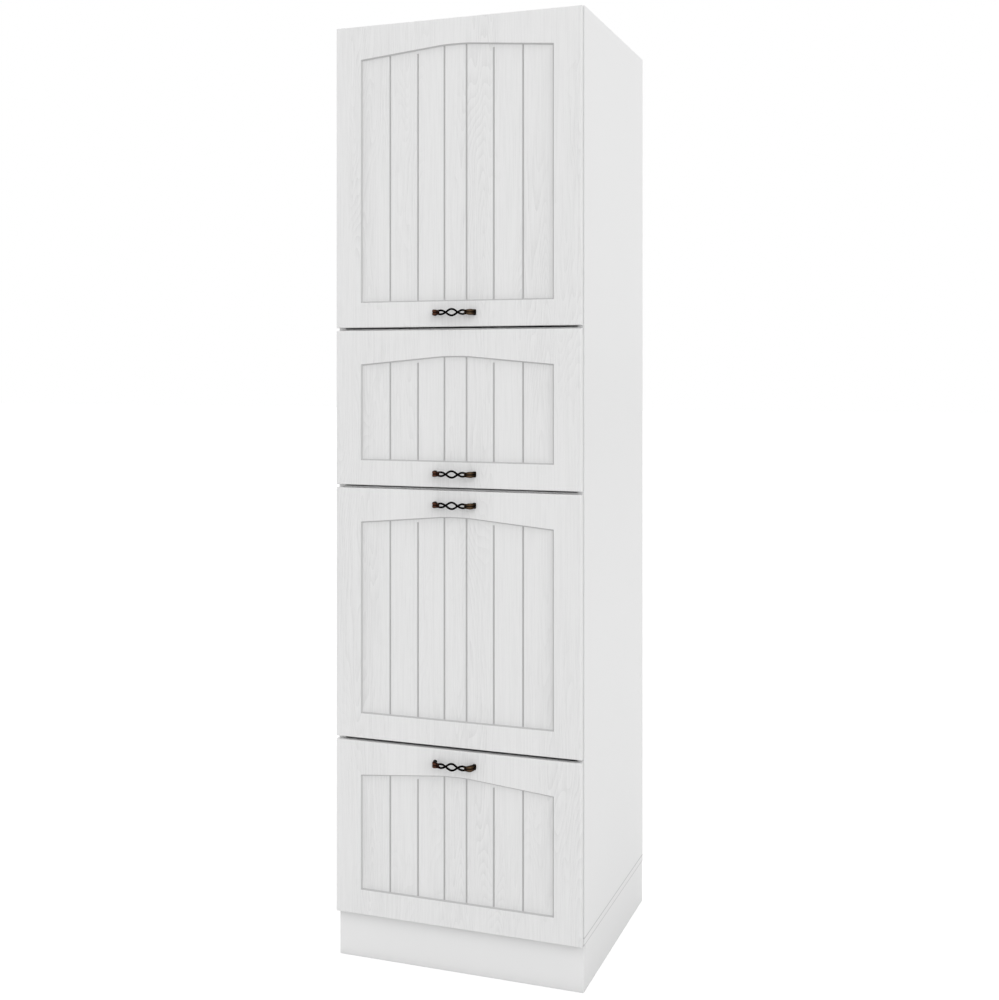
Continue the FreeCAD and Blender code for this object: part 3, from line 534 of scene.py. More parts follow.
def all_finishes(colours):
    """Material of each slot."""
    drawn = (900.0, 25.0, 900.0)
    return {
        FRONT_SLOT: foil_finish(colours),
        "white_board": board_finish("white_melamine", colours.board_white),
        "drawer_board": board_finish("drawer_melamine", colours.drawer_white),
        "white_sheet": sheet_finish(colours.sheet_white),
        "raw_wood": pine_finish(colours.pine),
        "clear_buffer": buffer_finish(colours.buffer),
        "zinc_fittings": metal_finish("cast_zinc", colours.zinc, 0.42, 500.0, 0.04 * MM),
        SCREW_SLOT: metal_finish("nickel_plate", colours.nickel, 0.24, drawn, 0.01 * MM),
        "runner_steel": metal_finish("zinc_plate", colours.zinc, 0.3, drawn, 0.02 * MM),
        "strut_bracket": metal_finish("bracket_zinc", colours.zinc, 0.32, 400.0, 0.02 * MM),
        "strut_body": strut_finish(colours.strut_grey),
        "strut_rod": metal_finish("rod_chrome", colours.chrome, 0.1, 900.0, 0.003 * MM),
        "antique_bronze": bronze_finish(colours),
    }


def finish_of(slot):
    """Material of a slot; all are made when the first is asked for."""
    if not FINISHES:
        FINISHES.update(all_finishes(bpy.context.scene.cabinet_colours))
    return FINISHES[slot]


# The floor's finish

def floor_finish(stage):
    """Pale floor that shows white and keeps a faint shadow; in the light it throws back it carries a
    painted contact shade by the plinth.
    """
    pale = Finish("pale_floor", 0.9)
    rays = pale.add("LightPath", {}).outputs
    glow = pale.span(rays["Is Glossy Ray"], 0.0, 1.0, stage.floor_glow, stage.floor_gloss)
    glow = pale.add("Emission", {"Color": opaque(WHITE), "Strength": glow}).outputs[0]
    shadow = pale.add("BsdfDiffuse", {"Color": opaque((stage.floor_shadow,) * 3)}).outputs[0]
    shown = pale.add("AddShader", {0: shadow, 1: glow}).outputs[0]
    tone = pale.mix(contact_shade_fade(pale, stage), (stage.contact_shade_tone,) * 3, (stage.floor_tone,) * 3)
    lighting = pale.add("BsdfDiffuse", {"Color": tone}).outputs[0]
    both = pale.add("MixShader", {0: pale.seen(rays), 1: lighting, 2: shown}).outputs[0]
    pale.feed(pale.nodes["Material Output"].inputs["Surface"], both)
    return pale.material


def contact_shade_fade(pale, stage):
    """Mask of the painted contact shade: zero at the plinth's foot, rising to one over the reach before
    and beside it.
    """
    axes = pale.axes()
    low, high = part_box("plinth_front")[0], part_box("plinth_side_right")[1]
    beside = pale.minus(pale.apart(axes["X"]), high.x)
    before = pale.minus(pale.apart(axes["Y"], 0.5 * (low.y + high.y)), 0.5 * (high.y - low.y))
    beside = pale.calc("SQRT", pale.span(beside, 0.0, stage.side_reach))
    return pale.calc("MAXIMUM", beside, pale.span(before, 0.0, stage.front_reach))


# Places read from the nodes

def corners(points):
    """Lowest and highest corner of some points."""
    low = Vector(min(point[axis] for point in points) for axis in range(3))
    high = Vector(max(point[axis] for point in points) for axis in range(3))
    return low, high


def solids_of(node):
    """Points and lowest and highest corner of each separate solid in a node, from left to right."""
    mesh = NODES[node].data
    keys = [tuple(round(value, 6) for value in vertex.co) for vertex in mesh.vertices]
    leader = {key: key for key in keys}

    def find(key):
        while leader[key] != key:
            key = leader[key]
        return key

    for face in mesh.polygons:
        first = find(keys[face.vertices[0]])
        for index in face.vertices[1:]:
            leader[find(keys[index])] = first
    groups = {}
    for key in leader:
        groups.setdefault(find(key), []).append(Vector(key))
    solids = [(points, *corners(points)) for points in groups.values()]
    return sorted(solids, key=lambda solid: (round(solid[1].x, 4), round(solid[1].z, 4)))


def between(low, high, shares):
    """Values at some shares of the way from a low to a high one."""
    return [low + share * (high - low) for share in shares]


def aimed(place, direction):
    """Matrix that stands a shape built along Z at a place, pointing in a direction."""
    return Matrix.Translation(place) @ Vector(direction).to_track_quat("Z", "Y").to_matrix().to_4x4()


# Shapes

CROSS_SHARPNESS = 6
SHARP_EDGE = math.radians(38.0)
WELD_REACH = 0.01 * MM
FLAT_WITHIN = math.radians(0.5)
EASED_EDGE = math.radians(28.0)
EASE_SEGMENTS = 2


def loft(bm, rings, closed=False):
    """Skin over rings, any of them a single point, capped at both ends or joined into a loop."""
    rows = [[bm.verts.new(point) for point in ring] for ring in rings]
    pairs = list(zip(rows, rows[1:]))
    if closed:
        pairs.append((rows[-1], rows[0]))
    for near, far in pairs:
        for k in range(max(len(near), len(far))):
            this_side = [near[k % len(near)], near[(k + 1) % len(near)]]
            that_side = [far[(k + 1) % len(far)], far[k % len(far)]]
            bm.faces.new(list(dict.fromkeys(this_side + that_side)))
    if not closed:
        for row, turn in ((rows[0], -1), (rows[-1], 1)):
            if len(row) > 2:
                bm.faces.new(row[::turn])


def turned(bm, outline, place, sides=32, closed=False):
    """Round body from (radius, height) pairs about Z in mm; a third value draws a ring in to a cross."""
    rings = []
    for radius, height, *cross in outline:
        if radius == 0.0:
            rings.append([place @ Vector((0.0, 0.0, height * MM))])
            continue
        ring = []
        for side in range(sides):
            around = 2.0 * math.pi * side / sides
            drawn_in = sum(cross) * (1.0 - abs(math.cos(2.0 * around)) ** CROSS_SHARPNESS)
            out = radius * (1.0 - drawn_in) * MM
            ring.append(place @ Vector((out * math.cos(around), out * math.sin(around), height * MM)))
        rings.append(ring)
    loft(bm, rings, closed)


def resized(outline, across, up):
    """Outline with its radii and its heights each times a factor."""
    return tuple((radius * across, height * up, *cross) for radius, height, *cross in outline)


def raised(outline, lift):
    """Outline moved up."""
    return tuple((radius, height + lift, *cross) for radius, height, *cross in outline)


def both_faces(half):
    """Whole outline of a disc from its lower half."""
    return half + tuple((radius, -height) for radius, height in reversed(half))


def rounded_ring(middle, across, along, half_across, half_along, count, power):
    """Rounded rectangle of points about a middle."""
    ring = []
    for k in range(count):
        around = 2.0 * math.pi * k / count
        c = math.cos(around)
        s = math.sin(around)
        u = math.copysign(abs(c) ** (2.0 / power), c) * half_across
        v = math.copysign(abs(s) ** (2.0 / power), s) * half_along
        ring.append(middle + across * u + along * v)
    return ring


def made_mesh(bm, name):
    """Mesh of a finished shape, smooth but for its sharp edges."""
    bmesh.ops.recalc_face_normals(bm, faces=bm.faces)
    mesh = bpy.data.meshes.new(name)
    bm.to_mesh(mesh)
    bm.free()
    mesh.shade_smooth()
    mesh.set_sharp_from_angle(angle=SHARP_EDGE)
    return mesh


def fit_piece(name, mesh, body, slot, place=ORIGIN):
    """New piece with its slot's finish, riding on a body."""
    piece = bpy.data.objects.new(name, mesh)
    piece.location = place
    bpy.context.scene.collection.objects.link(piece)
    if not mesh.materials:
        mesh.materials.append(finish_of(slot))
    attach(piece, body)
    return piece


def stand_for(node, name, mesh, place=ORIGIN):
    """New piece that shows in place of a node and moves with it."""
    piece = fit_piece(name, mesh, BODY_OF[node], SLOT_OF[node], place)
    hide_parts(node)


def dress(node, ease):
    """Give a node its slot's finish and soft edges."""
    piece = NODES[node]
    for slot in piece.material_slots:
        slot.link = "OBJECT"
        slot.material = finish_of(SLOT_OF[node])
    weld = piece.modifiers.new("weld", "WELD")
    weld.merge_threshold = WELD_REACH
    flat = piece.modifiers.new("flat_faces", "DECIMATE")
    flat.decimate_type = "DISSOLVE"
    flat.angle_limit = FLAT_WITHIN
    bevel = piece.modifiers.new("ease", "BEVEL")
    bevel.width = ease
    bevel.segments = EASE_SEGMENTS
    bevel.limit_method = "ANGLE"
    bevel.angle_limit = EASED_EDGE
    piece.modifiers.new("flats", "WEIGHTED_NORMAL").keep_sharp = False


# Carcass and fronts

class CABINET_OT_carcass(bpy.types.Operator):
    """Dress the carcass boards, shelves, back sheets and plinth"""

    bl_idname = "cabinet.carcass"
    bl_label = "Carcass"

    def execute(self, context):
        for node, slot in SLOT_OF.items():
            if slot in BOARD_SLOTS:
                dress(node, context.scene.cabinet_sizes.edge_ease)
        return {"FINISHED"}


class CABINET_OT_fronts(bpy.types.Operator):
    """Dress the four routed fronts in grained foil"""

    bl_idname = "cabinet.fronts"
    bl_label = "Fronts"

    def execute(self, context):
        for leaf in LEAVES:
            dress(leaf + "_front", context.scene.cabinet_sizes.foil_ease)
        return {"FINISHED"}


# Handles

# Sections of a handle's end in mm: outer and inner side, each as its distance out from the handle's middle
# and out from the front, then half the height and how rubbed the section is
END_SECTIONS = (
    (30.6, 22.0, 30.6, 18.0, 4.6, 0.0),
    (31.4, 22.8, 31.4, 17.2, 5.6, 0.4),
    (32.6, 22.9, 32.6, 17.0, 5.8, 0.6),
    (33.3, 22.7, 33.3, 17.2, 5.5, 0.3),
    (33.7, 22.3, 33.7, 17.5, 5.1, 0.0),
    (34.5, 22.5, 34.3, 17.2, 5.4, 0.1),
    (36.4, 22.7, 35.7, 16.9, 5.7, 0.45),
    (39.6, 22.8, 37.2, 16.4, 6.2, 0.8),
    (43.2, 22.3, 38.5, 15.6, 6.6, 1.0),
    (46.4, 20.6, 39.8, 14.0, 6.8, 1.0),
    (48.5, 17.5, 41.1, 11.6, 6.8, 0.9),
    (49.8, 12.6, 42.4, 8.4, 6.4, 0.5),
    (50.8, 7.0, 43.3, 5.4, 6.1, 0.3),
    (51.3, 3.2, 43.9, 3.0, 6.0, 0.1),
    (51.7, 2.4, 43.8, 2.4, 6.3, 0.3),
    (52.0, 1.6, 43.6, 1.6, 6.7, 0.6),
    (52.0, 0.0, 43.6, 0.0, 6.7, 0.3),
)
END_STEPS = 3
END_SIDES = 56
END_SQUARENESS = 4.5
FURROW_DEPTH = 0.9
FURROW_WIDTH = 1.1
FURROW_FULL = 15.0
INNER_RUB = 0.35
RIM_WEAR = 0.55
BAR_RUB = 0.04
BAR_STEPS = 96
BAR_SIDES = 12
BAR_SQUARENESS = 2.4
BAR_INTO_END = 0.85
WEAVE_RUN = 1.1


def bar_rings(sizes, sign, depth):
    """Rings along one bar of the grip, which swings from eye to eye and weaves at the crossings."""
    reach = sizes.bar_cross + BAR_INTO_END * sizes.side_eye_run
    points = []
    for step in range(BAR_STEPS + 1):
        x = reach * (2.0 * step / BAR_STEPS - 1.0)
        past_cross = abs(x) - sizes.bar_cross
        if past_cross < 0.0:
            z = sizes.eye_half * math.cos(0.5 * math.pi * abs(x) / sizes.bar_cross)
        else:
            z = -sizes.side_eye_half * math.sin(math.pi * past_cross / sizes.side_eye_run)
        over = math.exp(-(past_cross / (WEAVE_RUN * sizes.bar_width)) ** 2)
        y = depth - sign * math.copysign(sizes.bar_weave * over, x)
        points.append(Vector((x, y, sign * z)))
    half = 0.5 * sizes.bar_width
    rings = []
    for index, point in enumerate(points):
        ahead = points[min(index + 1, BAR_STEPS)] - points[max(index - 1, 0)]
        along = ahead.cross(BACKWARD).normalized()
        rings.append(rounded_ring(point, BACKWARD, along, half, half, BAR_SIDES, BAR_SQUARENESS))
    return rings


def curve_through(rows, steps):
    """Rows of values with the steps of a smooth curve added between them."""
    last = len(rows) - 1
    fine = []
    for k in range(last):
        columns = zip(*(rows[min(max(k + shift, 0), last)] for shift in (-1, 0, 1, 2)))
        bends = [(b, 0.5 * (c - a), a - 2.5 * b + 2.0 * c - 0.5 * d, 1.5 * (b - c) + 0.5 * (d - a))
                 for a, b, c, d in columns]
        for step in range(steps):
            t = step / steps
            fine.append([p + (q + (r + s * t) * t) * t for p, q, r, s in bends])
    fine.append(rows[last])
    return fine


def end_rings(side):
    """Rings along the end block and leg of a handle on one side, and how rubbed each point is."""
    rings = []
    rubs = []
    for far_x, far_out, near_x, near_out, half_height, rub in curve_through(END_SECTIONS, END_STEPS):
        far = Vector((side * far_x, -far_out, 0.0)) * MM
        near = Vector((side * near_x, -near_out, 0.0)) * MM
        half = 0.5 * (far - near)
        middle = near + half
        out = half.normalized()
        top = half_height * MM
        depth = FURROW_DEPTH * MM * min(1.0, 0.5 * (far_out + near_out) / FURROW_FULL)
        ring = rounded_ring(middle, out, UPWARD, half.length, top, END_SIDES, END_SQUARENESS)
        for index, point in enumerate(ring):
            outward = max(0.0, (point - middle).dot(half) / half.length_squared)
            furrow = outward * math.exp(-(point.z / (FURROW_WIDTH * MM)) ** 2)
            ring[index] = point - out * depth * furrow
            worn = (INNER_RUB + (1.0 - INNER_RUB) * outward) * (1.0 - RIM_WEAR * (abs(point.z) / top) ** 4)
            rubs.append(rub * worn * (1.0 - furrow))
        rings.append(ring)
    return rings, rubs


def handle_mesh(sizes, reach):
    """Bow handle about its middle on the front's face: two woven bars between two legs."""
    bm = bmesh.new()
    depth = 0.5 * sizes.bar_width + sizes.bar_weave - reach
    rubs = []
    for sign in (1.0, -1.0):
        rings = bar_rings(sizes, sign, depth)
        loft(bm, rings)
        rubs += [BAR_RUB] * sum(len(ring) for ring in rings)
    for side in (1.0, -1.0):
        rings, end_rubs = end_rings(side)
        loft(bm, rings)
        rubs += end_rubs
    mesh = made_mesh(bm, "openwork_handle")
    mesh.attributes.new(RUBBED, "FLOAT", "POINT").data.foreach_set("value", rubs)
    return mesh


class CABINET_OT_handles(bpy.types.Operator):
    """Model the four openwork handles"""

    bl_idname = "cabinet.handles"
    bl_label = "Handles"

    def execute(self, context):
        low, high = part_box(LEAVES[0] + "_handle")
        mesh = handle_mesh(context.scene.cabinet_sizes, high.y - low.y)
        for leaf in LEAVES:
            node = leaf + "_handle"
            low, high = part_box(node)
            stand_for(node, leaf + "_openwork_handle", mesh, (0.0, high.y, 0.5 * (low.z + high.z)))
        return {"FINISHED"}


# Gas struts, with outlines in mm

CYLINDER_EYE = both_faces(((4.05, -3.4), (4.6, -4.0), (6.4, -4.0), (7.0, -3.4)))
CYLINDER_FOOT = ((0.0, 6.3), (3.6, 6.3), (3.6, 10.4), (5.4, 10.8), (6.9, 12.0), (7.5, 14.0))
CYLINDER_MOUTH = (
    (7.5, -14.0), (7.0, -13.0), (7.0, -11.0), (7.5, -10.0), (7.5, -2.6), (7.1, -1.0),
    (6.2, 0.0), (4.4, 0.0), (3.6, -0.8), (3.15, -0.8), (3.15, -100.0), (0.0, -100.0),
)
CYLINDER_SIDES = 48
ROD_TAIL = ((0.0, 0.0), (2.6, 0.0), (3.0, 0.4))
ROD_COLLAR = ((3.0, -12.0), (3.9, -11.4), (3.9, -6.6), (3.2, -6.0), (3.2, -4.0), (0.0, -4.0))
ROD_EYE_RADIUS = 6.0
ROD_EYE = both_faces(((0.0, -3.6), (2.6, -3.6), (3.0, -4.0), (5.4, -4.0), (ROD_EYE_RADIUS, -3.4)))
ROD_SIDES = 40


def strut_lines(flap):
    """Foot and direction of a flap's two gas struts, from left to right."""
    name = flap.split("_")[0]
    foot = Vector(JOINTS[name + "_strut_swing"]["pos_m"])
    direction = Vector(JOINTS[name + "_strut_stroke"]["axis"])
    for _, low, high in solids_of(flap + "_strut_cylinders"):
        yield Vector((0.5 * (low.x + high.x), foot.y, foot.z)), direction


def reach_along(node, foot, direction):
    """How far a node's points lie along a line from its foot, in mm."""
    same_side = [vertex.co for vertex in NODES[node].data.vertices if vertex.co.x * foot.x > 0.0]
    spans = [(point - foot).dot(direction) / MM for point in same_side]
    return min(spans), max(spans)


class CABINET_OT_struts(bpy.types.Operator):
    """Model the gas cylinders and piston rods of the two flaps"""

    bl_idname = "cabinet.struts"
    bl_label = "Gas struts"

    def execute(self, context):
        for flap in FLAPS:
            self.cylinders(flap)
            self.rods(flap)
        return {"FINISHED"}

    def cylinders(self, flap):
        """Painted tubes with a rolled mouth, a waist over the seal and a pressed eye on the stud."""
        node = flap + "_strut_cylinders"
        bm = bmesh.new()
        for foot, direction in strut_lines(flap):
            turned(bm, CYLINDER_EYE, aimed(foot, ACROSS), closed=True)
            tube = CYLINDER_FOOT + raised(CYLINDER_MOUTH, reach_along(node, foot, direction)[1])
            turned(bm, tube, aimed(foot, direction), CYLINDER_SIDES)
        stand_for(node, flap + "_gas_cylinders", made_mesh(bm, node))

    def rods(self, flap):
        """Polished rods with a collar under their flat eye."""
        node = flap + "_strut_rods"
        bm = bmesh.new()
        for foot, direction in strut_lines(flap):
            low, high = reach_along(node, foot, direction)
            pivot = high - ROD_EYE_RADIUS
            rod = raised(ROD_TAIL, low) + raised(ROD_COLLAR, pivot)
            turned(bm, rod, aimed(foot, direction), ROD_SIDES)
            turned(bm, ROD_EYE, aimed(foot + direction * pivot * MM, ACROSS))
        stand_for(node, flap + "_piston_rods", made_mesh(bm, node))


# Pins, buffers and handle screws, with outlines in mm and the dome's in shares of its radius and height

CROSS_DRAW = 0.62
PIN_TAIL = ((0.0, 0.0), (2.1, 0.0), (2.5, 0.6))
PIN_SEAT = ((2.5, 0.0),)
PIN_NOSE = ((2.5, -0.7), (2.3, -0.2), (1.8, 0.0), (0.0, 0.0))
DOME = ((0.0, 0.0), (1.0, 0.0), (1.0, 0.25), (0.92, 0.6), (0.72, 0.86), (0.4, 0.98), (0.0, 1.0))
HANDLE_SCREW_HEAD = (
    (0.0, 0.9), (1.2, 1.1), (1.9, 0.0, CROSS_DRAW), (2.1, 0.0), (3.1, 0.25), (3.8, 0.9),
    (4.0, 1.5), (4.0, 2.4), (2.0, 2.4),
)
HANDLE_SCREW_TIP = ((2.0, -0.8), (1.4, 0.0), (0.0, 0.0))


def handle_screw(_, deep):
    """Outline of a screw through the front into a handle's foot, with a cross recess in its head."""
    return HANDLE_SCREW_HEAD + raised(HANDLE_SCREW_TIP, deep)


def turned_forward(node, name, outline_of):
    """Replace each solid of a node by a round body that points forward from the solid's rear face."""
    bm = bmesh.new()
    for _, low, high in solids_of(node):
        seat = Vector((0.5 * (low.x + high.x), high.y, 0.5 * (low.z + high.z)))
        outline = outline_of(0.5 * (high.x - low.x) / MM, (high.y - low.y) / MM)
        turned(bm, outline, aimed(seat, FORWARD))
    stand_for(node, name, made_mesh(bm, node))


class CABINET_OT_small_fittings(bpy.types.Operator):
    """Model shelf pins, buffers and the screws of the handles"""

    bl_idname = "cabinet.small_fittings"
    bl_label = "Pins, buffers and handle screws"

    def execute(self, context):
        self.shelf_pins()
        turned_forward("front_buffers", "domed_buffers", lambda radius, deep: resized(DOME, radius, deep))
        for leaf in LEAVES:
            turned_forward(leaf + "_handle_screws", leaf + "_cross_screws", handle_screw)
        return {"FINISHED"}

    def shelf_pins(self):
        """Turned pins in the side panels with a rounded nose under the shelf."""
        bm = bmesh.new()
        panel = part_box("side_panel_right")[0].x
        for _, low, high in solids_of("shelf_pins"):
            side = math.copysign(1.0, low.x + high.x)
            seat = Vector((side * panel, 0.5 * (low.y + high.y), 0.5 * (low.z + high.z)))
            deep = (max(abs(low.x), abs(high.x)) - panel) / MM
            proud = (panel - min(abs(low.x), abs(high.x))) / MM
            pin = raised(PIN_TAIL, -deep) + PIN_SEAT + raised(PIN_NOSE, proud)
            turned(bm, pin, aimed(seat, (-side, 0.0, 0.0)))
        stand_for("shelf_pins", "turned_shelf_pins", made_mesh(bm, "shelf_pins"))


# Screws and nails: outlines in shares of the head's radius, the nail's heights in mm

PAN_HEAD = (
    (0.0, -0.2), (0.8, -0.2), (1.0, 0.0), (1.0, 0.1), (0.93, 0.28), (0.74, 0.43),
    (0.5, 0.5), (0.46, 0.5, CROSS_DRAW), (0.3, 0.16, CROSS_DRAW), (0.0, 0.12),
)
NAIL = ((0.0, -0.5), (1.0, -0.5), (1.0, 0.05), (0.85, 0.3), (0.4, 0.4), (0.0, 0.42))
NAIL_SIDES = 16
CUP_WING = 0.42
CUP_SCREWS = (0.095, 0.905)
PLATE_WING = 8.0 * MM
PLATE_SCREWS = (0.1, 0.9)
FLAP_BRACKET_PLATE = 3.0 * MM
WALL_BRACKET_PLATE = 4.0 * MM
BRACKET_SCREWS = (0.14, 0.86)
FLAP_BRACKET_HEAD = 0.75
WALL_BRACKET_HEAD = 0.85
BOX_CORNER_INSET = 8.0 * MM
BOX_SIDE_SCREWS = (0.1, 0.6, 0.9)
BOX_FRONT_SCREWS = (0.3, 0.75)
BOX_FRONT_SPREAD = 0.72


def fit_screws(name, body, screws):
    """Pan heads with a cross recess, sunk a little into what they hold, as one piece on a body."""
    bm = bmesh.new()
    for place, direction, radius in screws:
        turned(bm, resized(PAN_HEAD, radius / MM, radius / MM), aimed(Vector(place), direction))
    fit_piece(name, made_mesh(bm, name), body, SCREW_SLOT)


class CABINET_OT_fasteners(bpy.types.Operator):
    """Add the visible screws and nails that hold hinges, brackets, drawer boxes and back sheets"""

    bl_idname = "cabinet.fasteners"
    bl_label = "Screws and nails"

    def execute(self, context):
        sizes = context.scene.cabinet_sizes
        for flap in FLAPS:
            fit_screws(flap + "_back_screws", flap, self.flap_screws(flap, sizes.screw_head))
        for drawer in DRAWERS:
            fit_screws(drawer + "_box_screws", drawer, self.drawer_screws(drawer, sizes.screw_head))
        fit_screws("carcass_screws", CARCASS, self.carcass_screws(sizes.screw_head))
        self.sheet_nails(sizes)
        return {"FINISHED"}

    def flap_screws(self, flap, head):
        """Two screws in each cup flange and in each strut bracket on the flap's back."""
        for points, low, high in solids_of(flap + "_hinge_cups"):
            middle = 0.5 * (low.x + high.x)
            edge = CUP_WING * (high.x - low.x)
            wing_low, wing_high = corners([point for point in points if abs(point.x - middle) > edge])
            for x in between(low.x, high.x, CUP_SCREWS):
                yield (x, wing_high.y, 0.5 * (wing_low.z + wing_high.z)), BACKWARD, head
        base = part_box(flap + "_front")[1].y
        for points, low, high in solids_of(flap + "_strut_brackets"):
            low, high = corners([point for point in points if point.y < base + FLAP_BRACKET_PLATE])
            for z in between(low.z, high.z, BRACKET_SCREWS):
                yield (0.5 * (low.x + high.x), high.y, z), BACKWARD, FLAP_BRACKET_HEAD * head

    def drawer_screws(self, drawer, head):
        """Screws at the corners of a drawer box and from the box into its front."""
        for side in ("left", "right"):
            low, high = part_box(drawer + "_side_" + side)
            out = math.copysign(1.0, low.x)
            face = max(abs(low.x), abs(high.x)) * out
            for y in (low.y + BOX_CORNER_INSET, high.y - BOX_CORNER_INSET):
                for z in between(low.z, high.z, BOX_SIDE_SCREWS):
                    yield (face, y, z), (out, 0.0, 0.0), head
        low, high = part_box(drawer + "_box_front")
        for x in (BOX_FRONT_SPREAD * low.x, BOX_FRONT_SPREAD * high.x):
            for z in between(low.z, high.z, BOX_FRONT_SCREWS):
                yield (x, high.y, z), BACKWARD, head

    def carcass_screws(self, head):
        """Two screws in each hinge plate and in each strut bracket on the side panels."""
        for points, low, high in solids_of("hinge_plates"):
            for x in between(low.x, high.x, PLATE_SCREWS):
                wing = corners([point for point in points if abs(point.x - x) < PLATE_WING])
                yield (x, 0.5 * (low.y + high.y), wing[0].z), DOWNWARD, head
        for points, low, high in solids_of("strut_wall_brackets"):
            wall = max(abs(low.x), abs(high.x))
            low, high = corners([point for point in points if abs(point.x) > wall - WALL_BRACKET_PLATE])
            side = math.copysign(1.0, low.x)
            face = min(abs(low.x), abs(high.x)) * side
            for z in between(low.z, high.z, BRACKET_SCREWS):
                yield (face, 0.5 * (low.y + high.y), z), (-side, 0.0, 0.0), WALL_BRACKET_HEAD * head

    def sheet_nails(self, sizes):
        """Flat nails around the edges of both back sheets."""
        bm = bmesh.new()
        nail = resized(NAIL, sizes.nail_head / MM, 1.0)
        for sheet in ("back_sheet_upper", "back_sheet_lower"):
            low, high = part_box(sheet)
            left, right = low.x + sizes.nail_inset, high.x - sizes.nail_inset
            bottom, top = low.z + sizes.nail_inset, high.z - sizes.nail_inset
            across = max(2, round((right - left) / sizes.nail_step))
            up = max(2, round((top - bottom) / sizes.nail_step))
            columns = [left + (right - left) * k / across for k in range(across + 1)]
            rows = [bottom + (top - bottom) * k / up for k in range(1, up)]
            places = [(x, z) for x in columns for z in (bottom, top)]
            places += [(x, z) for z in rows for x in (left, right)]
            for x, z in places:
                turned(bm, nail, aimed(Vector((x, high.y, z)), BACKWARD), NAIL_SIDES)
        fit_piece("back_sheet_nails", made_mesh(bm, "back_sheet_nails"), CARCASS, SCREW_SLOT)


class CABINET_OT_fittings(bpy.types.Operator):
    """Dress hinges, brackets, runners, cams and drawer boxes"""

    bl_idname = "cabinet.fittings"
    bl_label = "Fittings"

    def execute(self, context):
        for node, slot in SLOT_OF.items():
            if slot not in (*BOARD_SLOTS, FRONT_SLOT) and not NODES[node].hide_render:
                dress(node, context.scene.cabinet_sizes.metal_ease)
        return {"FINISHED"}


# Stage

FLOOR_CELLS = 8


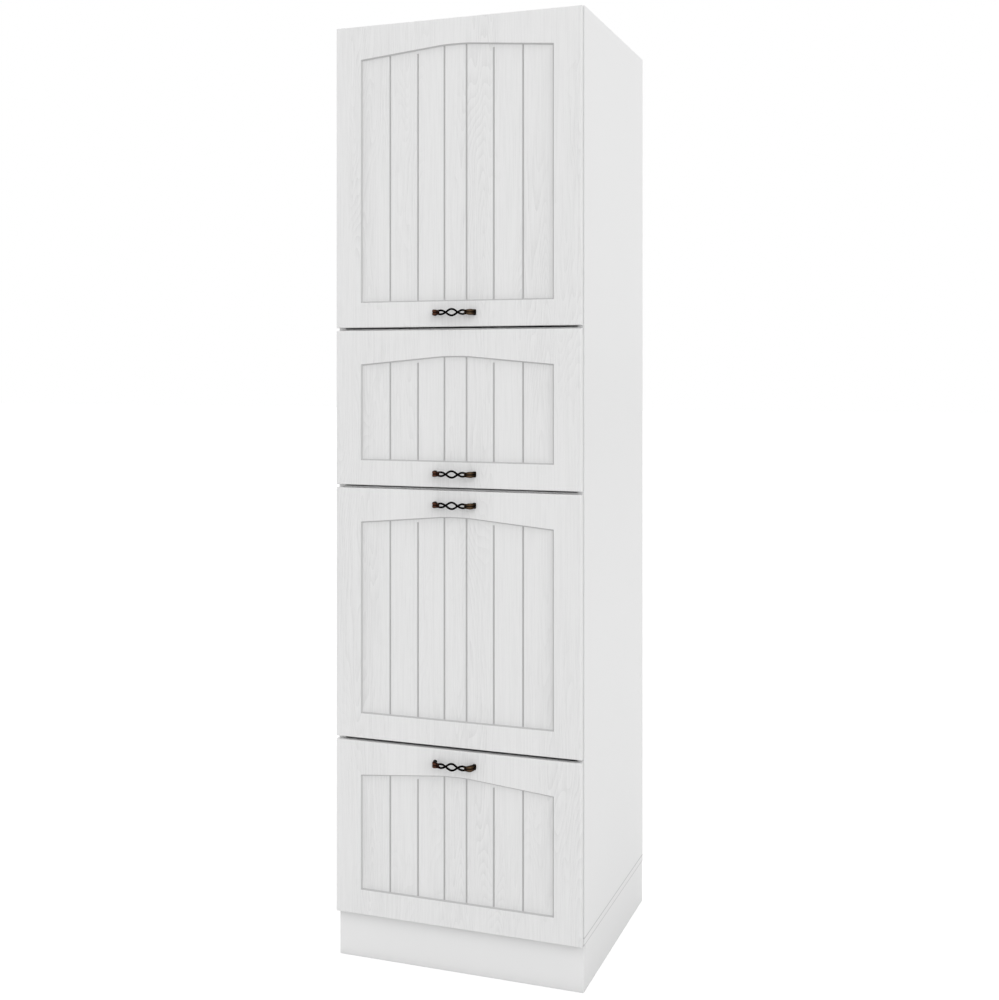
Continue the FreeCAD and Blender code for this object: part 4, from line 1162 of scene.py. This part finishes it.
class CABINET_OT_stage(bpy.types.Operator):
    """Floor, even light, two soft suns and the camera"""

    bl_idname = "cabinet.stage"
    bl_label = "Stage"

    def execute(self, context):
        stage = context.scene.cabinet_stage
        context.scene.view_settings.view_transform = "Standard"
        self.lay_floor(context, stage)
        self.light(context, stage)
        self.set_camera(context, stage)
        return {"FINISHED"}

    def lay_floor(self, context, stage):
        """Square floor under the cabinet."""
        bm = bmesh.new()
        half = 0.5 * stage.floor_size
        bmesh.ops.create_grid(bm, x_segments=FLOOR_CELLS, y_segments=FLOOR_CELLS, size=half)
        floor = bpy.data.objects.new("floor", made_mesh(bm, "floor"))
        floor.data.materials.append(floor_finish(stage))
        context.scene.collection.objects.link(floor)

    def light(self, context, stage):
        """Even white surroundings and two broad soft suns."""
        world = bpy.data.worlds.new("studio")
        context.scene.world = world
        world.use_nodes = True
        studio = Nodes(world.node_tree)
        back = studio.nodes["Background"].inputs
        studio.feed(back["Color"], opaque(WHITE))
        seen = studio.seen(studio.add("LightPath", {}).outputs)
        studio.feed(back["Strength"], studio.span(seen, 0.0, 1.0, stage.ambient, 1.0))
        self.hang_sun(context, "key_sun", stage.key, stage.key_way)
        self.hang_sun(context, "fill_sun", stage.fill, stage.fill_way)

    def hang_sun(self, context, name, strength, direction):
        """Broad soft sun that shines in a direction."""
        sun = bpy.data.lights.new(name, "SUN")
        sun.energy = strength
        sun.angle = context.scene.cabinet_stage.sun_width
        lamp = bpy.data.objects.new(name, sun)
        lamp.rotation_euler = Vector(direction).to_track_quat("-Z", "Y").to_euler()
        context.scene.collection.objects.link(lamp)

    def set_camera(self, context, stage):
        """Camera at the photograph's place."""
        data = bpy.data.cameras.new("camera")
        data.lens = stage.lens
        data.shift_x, data.shift_y = stage.shift
        camera = bpy.data.objects.new("camera", data)
        camera.location = stage.camera_place
        camera.rotation_euler = (0.5 * math.pi, 0.0, stage.camera_turn)
        context.scene.collection.objects.link(camera)
        context.scene.camera = camera


# Panel and registration

class CABINET_PT_looks(bpy.types.Panel):
    """Lists the cabinet's pieces and settings"""

    bl_idname = "CABINET_PT_looks"
    bl_label = "Tall kitchen cabinet"
    bl_space_type = "VIEW_3D"
    bl_region_type = "UI"
    bl_category = "Cabinet"

    def draw(self, context):
        for operator in OPERATORS:
            self.layout.operator(operator.bl_idname)
        for group in SETTINGS:
            settings = getattr(context.scene, group)
            for name in settings.bl_rna.properties.keys():
                if name not in ("rna_type", "name"):
                    self.layout.prop(settings, name)


SETTINGS = {
    "cabinet_colours": CabinetColours,
    "cabinet_sizes": CabinetSizes,
    "cabinet_stage": CabinetStage,
}
OPERATORS = (
    CABINET_OT_carcass,
    CABINET_OT_fronts,
    CABINET_OT_handles,
    CABINET_OT_struts,
    CABINET_OT_small_fittings,
    CABINET_OT_fasteners,
    CABINET_OT_fittings,
    CABINET_OT_stage,
)


def register():
    """Make the settings, operators and panel known."""
    for name, group in SETTINGS.items():
        bpy.utils.register_class(group)
        setattr(bpy.types.Scene, name, bpy.props.PointerProperty(type=group))
    for operator in OPERATORS:
        bpy.utils.register_class(operator)
    bpy.utils.register_class(CABINET_PT_looks)


def unregister():
    """Take the panel, operators and settings away."""
    bpy.utils.unregister_class(CABINET_PT_looks)
    for operator in reversed(OPERATORS):
        bpy.utils.unregister_class(operator)
    for name, group in SETTINGS.items():
        delattr(bpy.types.Scene, name)
        bpy.utils.unregister_class(group)


def main():
    """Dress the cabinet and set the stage."""
    register()
    bpy.ops.cabinet.carcass()
    bpy.ops.cabinet.fronts()
    bpy.ops.cabinet.handles()
    bpy.ops.cabinet.struts()
    bpy.ops.cabinet.small_fittings()
    bpy.ops.cabinet.fasteners()
    bpy.ops.cabinet.fittings()
    bpy.ops.cabinet.stage()


if __name__ == "__main__":
    main()
